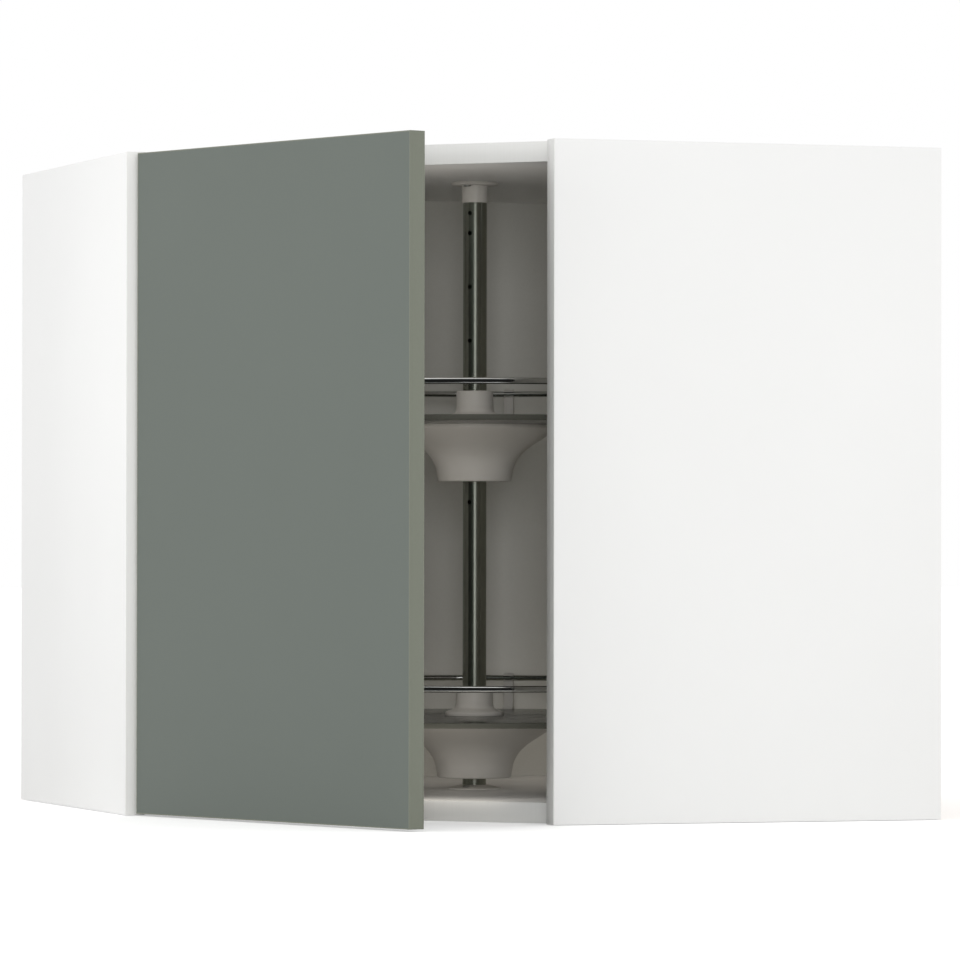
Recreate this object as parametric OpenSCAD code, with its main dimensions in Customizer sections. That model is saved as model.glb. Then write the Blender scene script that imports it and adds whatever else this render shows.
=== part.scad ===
// Corner wall cabinet with a diagonal door and two round carousel shelves on a pole.
// The origin is the room corner on the cabinet's underside and +Z is up. The walls are the
// planes y = 0 (behind) and x = 0 (to the right), and the door stands across the corner.

/* [Cabinet] */
// Length of the cabinet along each wall
body_w = 670; // [640:5:720]
// Depth of each side panel, from its wall to its front edge
side_d = 368; // [350:2:380]
// Height of the cabinet
body_h = 600; // [600:10:800]
// Thickness of the side, top and bottom panels
panel_t = 18; // [16:1:19]
// Thickness of the rear panels
rear_t = 3; // [2.5:0.5:6]
// Space between the rear panels and the walls
rear_inset = 20; // [15:1:30]
// Depth of the grooves that hold the rear panels
groove_d = 6; // [4:1:8]
// Side of the square post in the rear corner
post_w = 36; // [32:1:44]

/* [Door] */
// Thickness of the door
door_t = 16; // [16:1:19]
// Gap between the door and the side panel at each side
door_gap = 2.8; // [2.6:0.1:3.4]
// Gap between the door's ends and the cabinet's top and bottom
door_reveal = 1.5; // [1:0.5:3]
// How far the shut door stands proud of the side panels' inner front corners
door_lip = 0.2; // [0:0.1:0.5]
// Gap between the shut door and the front edges of the top and bottom panels
door_seat = 1.5; // [1.2:0.1:2.5]
// How far the door stands open
door_open = 25; // [0:1:60]
// How far the hinges let the door open
door_swing = 110; // [95:5:110]
// Diameter of the door bumpers
bumper_d = 9; // [7:1:12]

/* [Hinges] */
// Height of the hinges from the top and from the bottom
hinge_z = 95; // [80:1:120]
// Distance of the door's turning axis from its hinge edge
axis_side = 24; // [23.8:0.1:26]
// Distance of the door's turning axis behind its front face
axis_back = 9; // [8.8:0.1:9.2]
// Diameter of the hinge cup
cup_d = 35; // [33:1:36]
// Depth of the hinge cup
cup_depth = 11.5; // [11:0.5:12.5]
// Distance of the hinge cup from the door's hinge edge
cup_edge = 5; // [4:0.5:6]
// Distance of the arm's pin from the side panel
pin_off = 4.9; // [4.6:0.1:5.2]
// Diameter of the hinge pins
hinge_pin_d = 3; // [2.5:0.5:3]
// Thickness of the swan-neck link
link_t = 4; // [3:0.5:4]
// Height of the swan-neck link
link_h = 8; // [6:1:8]
// Clearance of the link round the side panel's corner and in the cup
link_clear = 0.8; // [0.6:0.1:1.2]
// Length of the hinge arm
arm_l = 46; // [42:1:52]
// Length of the mounting plate's cross bar
plate_l = 48; // [46:1:56]

/* [Pole] */
// Outer diameter of the pole
pole_d = 22; // [20:0.5:23]
// Wall of the pole's tube
pole_wall = 1.5; // [1:0.25:2.5]
// Distance of the highest hole for the upper shelf's pin from the pole's top
hole_row_drop = 44.5; // [40:0.5:50]
// Distance from one pin hole to the next
hole_pitch = 50; // [44:1:50]
// Number of pin holes for the upper shelf
hole_count = 6; // [4:1:6]
// Distance of the spare hole from the pole's top
spare_hole_drop = 26; // [24:1:30]
// Diameter of the shelf pins
shelf_pin_d = 5; // [4:0.5:6]
// Length of the shelf pins
shelf_pin_l = 38; // [34:1:40]
// Wall of the pole's plastic sockets
socket_wall = 1.2; // [1:0.1:2]
// Height of the top socket's sleeve and flange
socket_h = 19; // [16:1:24]
// Diameter of the top socket's flange
socket_flange_d = 45; // [42:1:50]
// Thickness of the top socket's flange
socket_flange_t = 3; // [2.5:0.5:4]
// Diameter of the dish at the pole's foot
base_d = 50; // [46:1:60]
// Height of the dish at the pole's foot
base_h = 4; // [4:0.5:5]

/* [Shelves] */
// Diameter of the shelves
shelf_d = 492; // [470:2:500]
// Thickness of the shelves
shelf_t = 5; // [4:0.5:6]
// Gap between the shelves' rim and the shut door
shelf_clear = 6.9; // [5:0.1:12]
// Height of the lower shelf's top face
lower_shelf_z = 86; // [84:1:100]
// How many pin holes there are from the highest down to the one that holds the upper shelf
shelf_hole_count = 5; // [3:1:5]
// Diameter of the hole in the middle of the shelves
shelf_bore_d = 44; // [43:0.5:46]
// Diameter of the rail's rod
rail_rod_d = 6; // [5:0.5:7]
// Height of the rail's middle above the shelf
rail_up = 30; // [24:1:40]
// Distance of the rail's middle inside the shelf's rim
rail_in = 5; // [4:0.5:8]
// Number of rail posts on each shelf
post_count = 5; // [3:1:7]
// Width of the rail posts
post_body_w = 11; // [9:1:13]

/* [Hub] */
// Height of the hub above the shelf
hub_h = 27; // [24:1:27]
// Diameter of the hub's top
hub_d = 35; // [35:1:38]
// Diameter of the hub's flange on the shelf
hub_flange_d = 54.5; // [52:0.5:60]
// Thickness of the hub flange's rim
hub_flange_t = 4; // [3:0.5:5]
// Depth of the cone under the shelf
cone_h = 52.5; // [52:0.5:54]
// Radius of the cone's wide rim
cone_rim_r = 76; // [72:1:80]
// Radius of the cone's neck
cone_neck_r = 36; // [35:0.5:38]
// Radius of the cone's foot
cone_foot_r = 33; // [32:0.5:34]
// Wall of the cone
cone_wall = 2.5; // [2:0.25:3]
// Number of ribs inside the cone
rib_count = 8; // [4:4:12]
// Thickness of the ribs inside the cone
rib_t = 1.8; // [1.4:0.1:2.4]
// Height of the shelf's top face above the middle of its pin
pin_drop = 26.5; // [26:0.5:28]

/* [Fasteners] */
// Diameter of the cam housings
cam_d = 15; // [14:0.5:15]
// Depth of the cam housings
cam_depth = 12.5; // [12:0.5:13]
// Distance of the cams from the panel joint
cam_reach = 24; // [22:1:34]
// Diameter of the cam bolts
cam_bolt_d = 6; // [5:0.5:7]
// Diameter of the wooden dowels
dowel_d = 8; // [6:1:8]
// Length of the wooden dowels
dowel_l = 30; // [25:1:35]
// Depth of the bolts and dowels in the side panels
joint_depth = 11; // [9:1:12]
// Diameter of the hanging bolts' holes in the wall brackets
wall_hole_d = 9; // [7:0.5:10]
// Thickness of the wall brackets' steel
bracket_t = 2.5; // [2:0.25:3]
// Height of the wall brackets
bracket_h = 64; // [60:2:80]
// Width of the wall brackets' face
bracket_w = 46; // [42:1:60]

/* [Hidden] */

root2 = sqrt(2);
round_fn = 64;
wide_fn = 180;
over = 1;                    // how far a cut runs past the face it opens
fit = 0.05;                  // radial clearance of a running fit
loose = 0.1;                 // clearance of a part that is glued, pressed or screwed in place
touch = 0.3;                 // clearance between pieces of different bodies that meet

// The diagonal front: lengths along it and distances behind the line through its outer corners
front_mid = -(body_w + side_d) / 2;
door_w = (body_w - side_d) * root2 - panel_t * root2 - 2 * door_gap;
door_h = body_h - 2 * door_reveal;
door_front = panel_t / root2 - door_lip;
door_back = door_front + door_t;
panel_front = door_back + door_seat;
face_x = -body_w + panel_t;  // inner face of the left side panel
rear_face = -rear_inset - rear_t;

function front_point(u, v) = [front_mid + (u + v) / root2, front_mid + (v - u) / root2];
axis_at = front_point(-door_w / 2 - axis_side, door_front + axis_back);
arm_pin_at = [face_x + pin_off, axis_at[1]];
arm_throw = arm_pin_at[0] - axis_at[0];

shelf_r = shelf_d / 2;
pole_at = -(body_w + side_d - root2 * (shelf_r + shelf_clear + door_back)) / 2;
pole_top = body_h - panel_t - socket_flange_t;
pole_foot = panel_t + base_h / 2;
function hole_z(number) = pole_top - hole_row_drop - (number - 1) * hole_pitch;
upper_pin_z = hole_z(shelf_hole_count);
upper_shelf_z = upper_pin_z + pin_drop;
door_angle = 225;            // direction from the pole to the middle of the door

module on_front() {
    translate([front_mid, front_mid, 0]) rotate(-45) children();
}
// Children lie as on the shut door: X from its hinge edge, Y inwards from its front face
module in_door() {
    on_front() translate([-door_w / 2 - axis_side, door_front + axis_back, 0])
        rotate(-door_open) translate([axis_side, -axis_back, 0]) children();
}
// Children lie on the left side panel: X off its inner face, Y rearwards from the arm's pin
module on_arm() {
    translate([face_x, arm_pin_at[1], 0]) children();
}
module at_hinges() {
    for (z = [hinge_z, body_h - hinge_z]) translate([0, 0, z]) children();
}
module at_pole() {
    translate([pole_at, pole_at, 0]) children();
}
// The cabinet is alike on both sides of the vertical plane x = y
module mirror_side() {
    mirror([1, -1, 0]) children();
}
module both_sides() {
    children();
    mirror_side() children();
}
module rod(d, l, fn = round_fn) {
    cylinder(d = d, h = l, center = true, $fn = fn);
}

// ---- Side, top and bottom panels ----
joint_inset = 70;                    // of the cams, from the wall and from the front edge
joint_rows = [-joint_inset, -side_d + joint_inset];
dowel_rows = [-side_d / 2];
dowel_shift = dowel_l / 2 - joint_depth;
panel_mid_z = [panel_t / 2, body_h - panel_t / 2];

// Places where a side panel joins the top and the bottom, X across the joint
module at_joints(rows) {
    for (z = panel_mid_z, y = rows) translate([face_x, y, z]) children();
}
module dowel_hole() {
    rotate([0, 90, 0]) rod(dowel_d + 2 * loose, dowel_l + 2 * touch);
}
// Either side panel, seen as the left one
module side_panel() {
    difference() {
        translate([-body_w, -side_d, 0]) cube([panel_t, side_d, body_h]);
        translate([face_x - groove_d, rear_face - loose, panel_t - groove_d])
            cube([groove_d + over, rear_t + 2 * loose, body_h - 2 * (panel_t - groove_d)]);
        at_joints(joint_rows) translate([-joint_depth / 2, 0, 0]) rotate([0, 90, 0])
            rod(cam_bolt_d + 2 * loose, joint_depth + 2 * loose);
        at_joints(dowel_rows) translate([dowel_shift, 0, 0]) dowel_hole();
        at_bracket_screws() bracket_screw_hole();
    }
}
// Only the left side carries the hinges
module left_side_panel() {
    color("#f4f4f1") difference() {
        side_panel();
        at_plate_screws() plate_screw_hole();
    }
}
module right_side_panel() {
    color("#f4f4f1") mirror_side() side_panel();
}
// Five-sided outline of the top and the bottom, between the side panels
module deck_outline() {
    cut_x = 2 * front_mid + panel_front * root2 - face_x;
    polygon([[0, 0], [face_x, 0], [face_x, cut_x], [cut_x, face_x], [0, face_x]]);
}
module deck_joints() {
    both_sides() {
        at_joints(joint_rows) rotate([0, 90, 0])
            cylinder(d = cam_bolt_d + 2 * loose, h = cam_reach, $fn = round_fn);
        at_joints(dowel_rows) translate([dowel_shift, 0, 0]) dowel_hole();
    }
}
// Cams open on the hidden face: the top of the top panel, the underside of the bottom panel
module at_cams() {
    both_sides() for (y = joint_rows) {
        translate([face_x + cam_reach, y, 0]) children();
        translate([face_x + cam_reach, y, body_h]) mirror([0, 0, 1]) children();
    }
}
module cam_holes() {
    at_cams() translate([0, 0, -over])
        cylinder(d = cam_d + 2 * loose, h = cam_depth + over + loose, $fn = round_fn);
}
module deck(z) {
    difference() {
        translate([0, 0, z]) linear_extrude(panel_t) deck_outline();
        both_sides() translate([-body_w, rear_face - loose, panel_t - groove_d])
            cube([body_w + rear_end + loose, rear_t + 2 * loose,
                body_h - 2 * (panel_t - groove_d)]);
        deck_joints();
        cam_holes();
    }
}
module top_panel() {
    color("#f4f4f1") difference() {
        deck(body_h - panel_t);
        at_socket_screws() translate([0, 0, pole_top])
            cylinder(d = socket_screw_d + 2 * loose, h = socket_flange_t + socket_screw_l,
                $fn = round_fn);
    }
}
module bottom_panel() {
    color("#f4f4f1") difference() {
        deck(0);
        at_socket_screws() translate([0, 0, panel_t + base_h / 2 - socket_screw_l - loose])
            cylinder(d = socket_screw_d + 2 * loose, h = socket_screw_l + over, $fn = round_fn);
    }
}

// ---- Rear panels and the post between them ----
rear_z = panel_t - groove_d + loose;
rear_h = body_h - 2 * rear_z;
rear_end = -post_w + groove_d - loose;

module rear_panel() {
    difference() {
        translate([face_x - groove_d + loose, rear_face, rear_z])
            cube([rear_end - face_x + groove_d - loose, rear_t, rear_h]);
        translate([face_x, rear_face + rear_t / 2, body_h - panel_t]) rotate([0, 45, 0])
            cube([root2 * rear_corner_cut, 2 * rear_t, body_w], center = true);
    }
}
module left_rear_panel() {
    color("#efefec") rear_panel();
}
module right_rear_panel() {
    color("#efefec") mirror_side() rear_panel();
}
post_off = 2;                // the post stands clear of the walls
post_chamfer = 8;
module rear_corner_post() {
    color("#e6dcc6") difference() {
        translate([0, 0, panel_t]) linear_extrude(body_h - 2 * panel_t) polygon([
            [-post_off, -post_off], [-post_w, -post_off], [-post_w, -post_w + post_chamfer],
            [-post_w + post_chamfer, -post_w], [-post_off, -post_w]]);
        both_sides() translate([-post_w - over, rear_face - loose, 0])
            cube([groove_d + over, rear_t + 2 * loose, body_h]);
    }
}

// ---- Dowels, cams and wall brackets ----
module panel_dowels() {
    color("#d8b98a") both_sides() at_joints(dowel_rows) translate([dowel_shift, 0, 0])
        rotate([0, 90, 0]) rod(dowel_d, dowel_l);
}
cam_slot = 1.2;
module cam_housings() {
    color("#b9bbbd") at_cams() difference() {
        cylinder(d = cam_d, h = cam_depth, $fn = round_fn);
        for (turn = [0, 90]) rotate(turn)
            cube([cam_d / 2, cam_slot, 3 * cam_slot], center = true);
        translate([0, 0, panel_t / 2]) rotate([0, -90, 0])
            cylinder(d = cam_bolt_d + 2 * loose, h = cam_d, $fn = round_fn);
    }
}
module cam_bolts() {
    color("#c9cbcd") both_sides() at_joints(joint_rows) translate([-joint_depth, 0, 0])
        rotate([0, 90, 0])
            cylinder(d = cam_bolt_d, h = joint_depth + cam_reach - 2 * loose, $fn = round_fn);
}
bracket_slack = 3;           // the rear panel clears the hanging bolt by this much
bracket_drop = 6;            // below the top panel
bracket_hole_in = 26;        // from the side panel to the hanging bolt
bracket_flange = 36;         // depth of the bracket along the side panel
bracket_mid_z = body_h - panel_t - bracket_drop - bracket_h / 2;
bracket_hole_x = face_x + bracket_hole_in;
// Legs of the corner that is cut off each rear panel, past the hanging bolt
rear_corner_cut = bracket_hole_in + body_h - panel_t - bracket_mid_z
    + root2 * (wall_hole_d / 2 + bracket_slack);
bracket_screw_y = rear_face - (bracket_flange + bracket_t) / 2;
bracket_screw_d = 4;
bracket_screw_l = 14;

module at_bracket_screws() {
    for (side = [-1, 1])
        translate([face_x + bracket_t, bracket_screw_y, bracket_mid_z + side * bracket_h / 3])
            rotate([0, -90, 0]) children();
}
module bracket_screw_hole() {
    cylinder(d = bracket_screw_d + 2 * loose, h = bracket_screw_l + loose, $fn = round_fn);
}
module bracket() {
    difference() {
        union() {
            translate([face_x, rear_face - bracket_t, bracket_mid_z - bracket_h / 2])
                cube([bracket_w, bracket_t, bracket_h]);
            translate([face_x, rear_face - bracket_flange, bracket_mid_z - bracket_h / 2])
                cube([bracket_t, bracket_flange, bracket_h]);
        }
        translate([bracket_hole_x, rear_face, bracket_mid_z]) rotate([90, 0, 0])
            rod(wall_hole_d, 3 * bracket_t);
        at_bracket_screws() translate([0, 0, -over]) bracket_screw_hole();
    }
}
module wall_brackets() {
    color("#b4b7b9") both_sides() bracket();
}
screw_head = 2;              // a screw's head is this many times as wide as its shank
// The shank runs up from the face that the head bears on, and the head hangs below it
module pan_screw(d, l) {
    cylinder(d = d, h = l, $fn = round_fn);
    translate([0, 0, -d / 2]) cylinder(d = screw_head * d, h = d / 2, $fn = round_fn);
}
module bracket_screws() {
    color("#c9cbcd") both_sides() at_bracket_screws() pan_screw(bracket_screw_d, bracket_screw_l);
}

// ---- Hinges ----
plate_t = 2;                 // steel of the mounting plate
plate_w = 14;
plate_foot_l = 40;
plate_row = 37;              // screws are this far behind the side panel's front edge
plate_pitch = 32;
plate_screw_d = 4.8;
plate_screw_l = 12;
plate_row_y = -side_d + plate_row - arm_pin_at[1];

module at_plate_screws() {
    on_arm() at_hinges() for (side = [-1, 1])
        translate([plate_t, plate_row_y, side * plate_pitch / 2]) rotate([0, -90, 0]) children();
}
module plate_screw_hole() {
    cylinder(d = plate_screw_d + 2 * loose, h = plate_screw_l + loose, $fn = round_fn);
}
module hinge_mounting_plates() {
    color("#c4c6c8") on_arm() at_hinges() difference() {
        union() {
            translate([0, plate_row_y - plate_w / 2, -plate_l / 2])
                cube([plate_t, plate_w, plate_l]);
            translate([0, plate_row_y - plate_w / 2, -plate_w / 2])
                cube([plate_t, plate_foot_l, plate_w]);
        }
        for (side = [-1, 1]) translate([0, plate_row_y, side * plate_pitch / 2])
            rotate([0, 90, 0]) rod(plate_screw_d + 2 * loose, 3 * plate_t);
    }
}
module hinge_plate_screws() {
    color("#c9cbcd") at_plate_screws() pan_screw(plate_screw_d, plate_screw_l);
}
// The arm is a folded channel: two cheeks carry the pin and a web ties them
arm_sheet = 1.2;
arm_base = plate_t + loose;
arm_top = 9.6;               // outer face of the web, from the side panel
arm_in_h = link_h + 2 * touch;
arm_out_h = arm_in_h + 2 * arm_sheet;
cheek_r = 3.4;
web_start = plate_row_y - plate_w / 2 - loose;   // clear of the turning link
arm_screw_rows = [0.55, 0.85];   // as shares of the arm's length
arm_screw_d = 5;
module arm_cheek() {
    translate([pin_off, 0, 0]) rod(2 * cheek_r, arm_sheet);
    translate([pin_off - cheek_r, 0, -arm_sheet / 2]) cube([2 * cheek_r, web_start, arm_sheet]);
    translate([arm_base, web_start / 2, -arm_sheet / 2])
        cube([arm_top - arm_base, arm_l - web_start / 2, arm_sheet]);
}
module hinge_arms() {
    color("#c4c6c8") on_arm() at_hinges() difference() {
        union() {
            for (side = [-1, 1]) translate([0, 0, side * (arm_in_h + arm_sheet) / 2]) arm_cheek();
            translate([arm_top - arm_sheet, web_start, -arm_in_h / 2])
                cube([arm_sheet, arm_l - web_start, arm_in_h]);
        }
        translate([pin_off, 0, 0]) rod(hinge_pin_d + 2 * fit, 2 * arm_out_h);
        for (share = arm_screw_rows) translate([arm_top, share * arm_l, 0])
            rotate([0, 90, 0]) rod(arm_screw_d + 2 * loose, 4 * arm_sheet);
    }
}
// Each screw clamps the arm's web down on the mounting plate
module hinge_arm_screws() {
    color("#c9cbcd") on_arm() at_hinges() for (share = arm_screw_rows)
        translate([arm_top, share * arm_l, 0]) rotate([0, -90, 0])
            pan_screw(arm_screw_d, arm_top - plate_t - loose);
}
module hinge_arm_pins() {
    color("#a9abad") on_arm() at_hinges() translate([pin_off, 0, 0])
        rod(hinge_pin_d, arm_out_h);
}
cup_x = cup_edge + cup_d / 2;
cup_wall = 1.2;
cup_floor = 1;
cup_in_r = cup_d / 2 - loose - cup_wall;
// As the door turns, the arm's pin circles the turning axis, and the tip shifts in the cup
tip_r = 2;
full_turn = 45 + door_swing;
tip_in = cup_x - sqrt(cup_in_r * cup_in_r - link_h * link_h / 4) + tip_r + link_clear
    + arm_throw * (cos(45) - cos(full_turn));
tip_back = door_t - cup_depth + cup_floor + tip_r + link_clear
    + arm_throw * (sin(45) - sin(full_turn));
// The arm's pin as the shut door has it, and the tip from that pin
pin_in_door = [-axis_side + arm_throw / root2, axis_back + arm_throw / root2];
tip_x = tip_in - pin_in_door[0];
tip_y = tip_back - pin_in_door[1];
// The arch stands clear of the side panel's inner front corner on the fully open door
corner = [-door_gap - pin_in_door[0], door_lip - pin_in_door[1]];
link_rise = corner[0] * sin(door_swing) + corner[1] * cos(door_swing) + link_clear + link_t / 2;

module bar(x, y, dx, dy) {
    translate([x - link_t / 2, y - link_t / 2, -link_h / 2])
        cube([dx + link_t, dy + link_t, link_h]);
}
boss_r = 3.3;
// The swan neck leaves the pin, arches over the front edge of the side panel into the cup
module hinge_links() {
    color("#b2b5b8") translate([arm_pin_at[0], arm_pin_at[1], 0]) rotate(-45 - door_open)
        at_hinges() difference() {
            union() {
                rod(2 * boss_r, link_h);
                bar(0, 0, 0, link_rise);
                bar(0, link_rise, tip_x, 0);
                bar(tip_x, tip_y, 0, link_rise - tip_y);
            }
            rod(hinge_pin_d + 2 * fit, 2 * link_h);
            // rounded outer corners of the bent strip
            for (side = [0, 1]) translate([side * tip_x, link_rise, 0]) mirror([side, 0, 0])
                difference() {
                    translate([-link_t, 0, -link_h]) cube([link_t, link_t, 2 * link_h]);
                    rod(link_t, 4 * link_h);
                }
            translate([tip_x, tip_y, 0]) difference() {
                translate([-link_t, -link_t, -link_h]) cube([2 * link_t, link_t, 2 * link_h]);
                rod(2 * tip_r, 4 * link_h);
            }
        }
}
cup_rim_t = 1.2;
cup_rim_w = 2.4;
cup_rim_r = cup_d / 2 + cup_rim_w;
cup_ear_x = 9.5;
cup_ear_z = 22.5;
cup_ear_r = 5;
cup_screw_d = 3.5;
cup_screw_l = 12;
module at_cups() {
    in_door() at_hinges() translate([cup_x, door_t, 0]) rotate([-90, 0, 0]) children();
}
module at_cup_screws() {
    at_cups() for (side = [-1, 1]) translate([cup_ear_x, side * cup_ear_z, 0]) children();
}
module hinge_cups() {
    color("#c4c6c8") at_cups() difference() {
        union() {
            translate([0, 0, -cup_depth]) cylinder(d = cup_d - 2 * loose, h = cup_depth,
                $fn = round_fn);
            cylinder(r = cup_rim_r, h = cup_rim_t, $fn = round_fn);
            translate([cup_ear_x - cup_ear_r, -cup_ear_z, 0])
                cube([2 * cup_ear_r, 2 * cup_ear_z, cup_rim_t]);
            for (side = [-1, 1]) translate([cup_ear_x, side * cup_ear_z, 0])
                cylinder(r = cup_ear_r, h = cup_rim_t, $fn = round_fn);
        }
        translate([0, 0, -cup_depth + cup_floor])
            cylinder(d = cup_d - 2 * (loose + cup_wall), h = 2 * cup_depth, $fn = round_fn);
        for (side = [-1, 1]) translate([cup_ear_x, side * cup_ear_z, 0])
            rod(cup_screw_d + 2 * loose, 4 * cup_rim_t);
    }
}
module hinge_cup_screws() {
    color("#c9cbcd") at_cup_screws() translate([0, 0, cup_rim_t]) mirror([0, 0, 1])
        pan_screw(cup_screw_d, cup_screw_l);
}
// The cup's cross pin is the seat of the link's tip: it lies under the tip at this opening
tip_turn = 45 + door_open;
cup_pin_r = hinge_pin_d / 2;
cup_pin_at = [
    tip_in + arm_throw * (cos(tip_turn) - cos(45)) - (tip_r + cup_pin_r + touch) * cos(tip_turn),
    tip_back + arm_throw * (sin(tip_turn) - sin(45)) - (tip_r + cup_pin_r + touch) * sin(tip_turn)
];
cup_pin_l = 2 * sqrt(cup_in_r * cup_in_r - pow(abs(cup_pin_at[0] - cup_x) + cup_pin_r, 2))
    - 2 * loose;
module hinge_cup_pins() {
    color("#a9abad") in_door() at_hinges() translate([cup_pin_at[0], cup_pin_at[1], 0])
        rod(hinge_pin_d, cup_pin_l);
}

// ---- Door ----
bumper_in = 14;
module at_bumpers() {
    in_door() for (z = [panel_t / 2, body_h - panel_t / 2])
        translate([door_w - bumper_in, door_t, z]) rotate([-90, 0, 0]) children();
}
module door_panel() {
    color("#78807a") difference() {
        in_door() translate([0, 0, door_reveal]) cube([door_w, door_t, door_h]);
        at_cups() translate([0, 0, -cup_depth - loose])
            cylinder(d = cup_d, h = cup_depth + loose + over, $fn = round_fn);
        at_cup_screws() translate([0, 0, cup_rim_t - cup_screw_l - loose])
            cylinder(d = cup_screw_d + 2 * loose, h = cup_screw_l + 2 * over, $fn = round_fn);
    }
}
module door_bumpers() {
    color("#e8e8e4") at_bumpers() cylinder(d = bumper_d, h = door_seat - touch, $fn = round_fn);
}

// ---- Pole and its sockets ----
socket_in_d = pole_d + 2 * loose;
socket_out_d = socket_in_d + 2 * socket_wall;
base_top_d = 26.6;           // where the dish's slope ends
socket_screw_d = 3.5;
socket_screw_l = 14;
socket_screw_r = 17;
module at_socket_screws() {
    at_pole() for (side = [0, 180]) rotate(door_angle + side)
        translate([socket_screw_r, 0, 0]) children();
}
lower_pin_z = lower_shelf_z - pin_drop;
module pole() {
    color("#8d8f8c") at_pole() difference() {
        translate([0, 0, pole_foot]) cylinder(d = pole_d, h = pole_top - pole_foot,
            $fn = round_fn);
        translate([0, 0, -over]) cylinder(d = pole_d - 2 * pole_wall, h = body_h, $fn = round_fn);
        for (z = concat([lower_pin_z, pole_top - spare_hole_drop],
                [for (number = [1 : hole_count]) hole_z(number)]))
            translate([0, 0, z]) rotate(door_angle) rotate([0, 90, 0])
                rod(shelf_pin_d + 2 * loose, 2 * pole_d);
    }
}
module pole_top_socket() {
    color("#d9d8d4") difference() {
        at_pole() difference() {
            union() {
                translate([0, 0, body_h - panel_t - socket_h])
                    cylinder(d = socket_out_d, h = socket_h, $fn = round_fn);
                translate([0, 0, pole_top]) cylinder(d1 = socket_flange_d - socket_flange_t,
                    d2 = socket_flange_d, h = socket_flange_t, $fn = round_fn);
            }
            translate([0, 0, body_h - panel_t - socket_h - over])
                cylinder(d = socket_in_d, h = socket_h + over - socket_flange_t + loose,
                    $fn = round_fn);
        }
        at_socket_screws() translate([0, 0, body_h - panel_t]) rod(socket_screw_d + 2 * loose,
            4 * socket_flange_t);
    }
}
module pole_base_socket() {
    color("#d9d8d4") difference() {
        at_pole() difference() {
            translate([0, 0, panel_t]) rotate_extrude($fn = round_fn) polygon([
                [0, 0], [base_d / 2, 0], [base_d / 2, base_h / 4], [base_top_d / 2, base_h],
                [0, base_h]]);
            translate([0, 0, pole_foot - loose]) cylinder(d = socket_in_d, h = base_h,
                $fn = round_fn);
        }
        at_socket_screws() translate([0, 0, panel_t]) rod(socket_screw_d + 2 * loose, 4 * base_h);
        at_socket_screws() translate([0, 0, panel_t + base_h / 2])
            cylinder(d = screw_head * socket_screw_d + 2 * loose, h = base_h, $fn = round_fn);
    }
}
module pole_socket_screws() {
    color("#c9cbcd") {
        at_socket_screws() translate([0, 0, pole_top]) pan_screw(socket_screw_d, socket_screw_l);
        at_socket_screws() translate([0, 0, panel_t + base_h / 2]) mirror([0, 0, 1])
            pan_screw(socket_screw_d, socket_screw_l);
    }
}
module shelf_pins() {
    color("#b9bbbd") at_pole() for (z = [lower_pin_z, upper_pin_z]) translate([0, 0, z])
        rotate(door_angle) rotate([0, 90, 0]) rod(shelf_pin_d, shelf_pin_l);
}
ring_t = 2;
ring_d = 31;
module thrust_rings() {
    color("#e4e2dc") at_pole() for (z = [lower_pin_z, upper_pin_z])
        translate([0, 0, z + shelf_pin_d / 2]) difference() {
            cylinder(d = ring_d, h = ring_t, $fn = round_fn);
            translate([0, 0, -over]) cylinder(d = socket_in_d, h = ring_t + 2 * over,
                $fn = round_fn);
        }
}

// ---- Carousel shelves: every height is measured from the shelf's top face ----
bush_out_d = 25;
bush_flange_t = 2;
bush_foot = -pin_drop + shelf_pin_d / 2 + ring_t + fit;
hub_roof = 4;                // the hub's material above the bush
bush_top = hub_h - hub_roof;
tube_d = 28.5;               // the cone's tube round the bush
plate_under_t = 3;           // the cone's plate under the shelf
hub_screw_r = 18;
hub_screw_d = 3;
hub_screw_bite = 5;          // in the hub
hub_screw_l = plate_under_t + shelf_t + hub_screw_bite;
hub_screw_count = 4;
hub_screw_angle = 22.5;

module at_shelf(z) {
    at_pole() translate([0, 0, z]) children();
}
module at_hub_screws() {
    for (i = [0 : hub_screw_count - 1]) rotate(hub_screw_angle + i * 360 / hub_screw_count)
        translate([hub_screw_r, 0, 0]) children();
}
edge_r = 1;
module shelf(z) {
    at_shelf(z) rotate_extrude($fn = wide_fn) polygon([
        [shelf_bore_d / 2, 0], [shelf_r - edge_r, 0], [shelf_r, -edge_r],
        [shelf_r, -shelf_t + edge_r], [shelf_r - edge_r, -shelf_t],
        [shelf_bore_d / 2, -shelf_t]]);
}
// A smooth curve between two points, bent by two more
function bend(p, t) = pow(1 - t, 3) * p[0] + 3 * t * pow(1 - t, 2) * p[1]
    + 3 * t * t * (1 - t) * p[2] + pow(t, 3) * p[3];
// The cone flares from its neck to its rim like a trumpet, above a nearly straight foot
foot_h = 0.22 * cone_h;
flare_in = 0.4 * (cone_rim_r - cone_neck_r);
flare_out = 0.15 * (cone_rim_r - cone_neck_r);
flare_top = 0.34 * cone_h;
flare_low = 0.38 * cone_h;
trumpet = [
    [cone_rim_r, -plate_under_t], [cone_rim_r - flare_in, -flare_top],
    [cone_neck_r + flare_out, -flare_low], [cone_neck_r, foot_h - cone_h]];
trumpet_steps = 12;
trumpet_curve = [for (i = [0 : trumpet_steps]) bend(trumpet, i / trumpet_steps)];
trumpet_inset = 0.9 * cone_wall;     // inwards and upwards, which leaves the wall on the slope
lip_r = 2;
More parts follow.
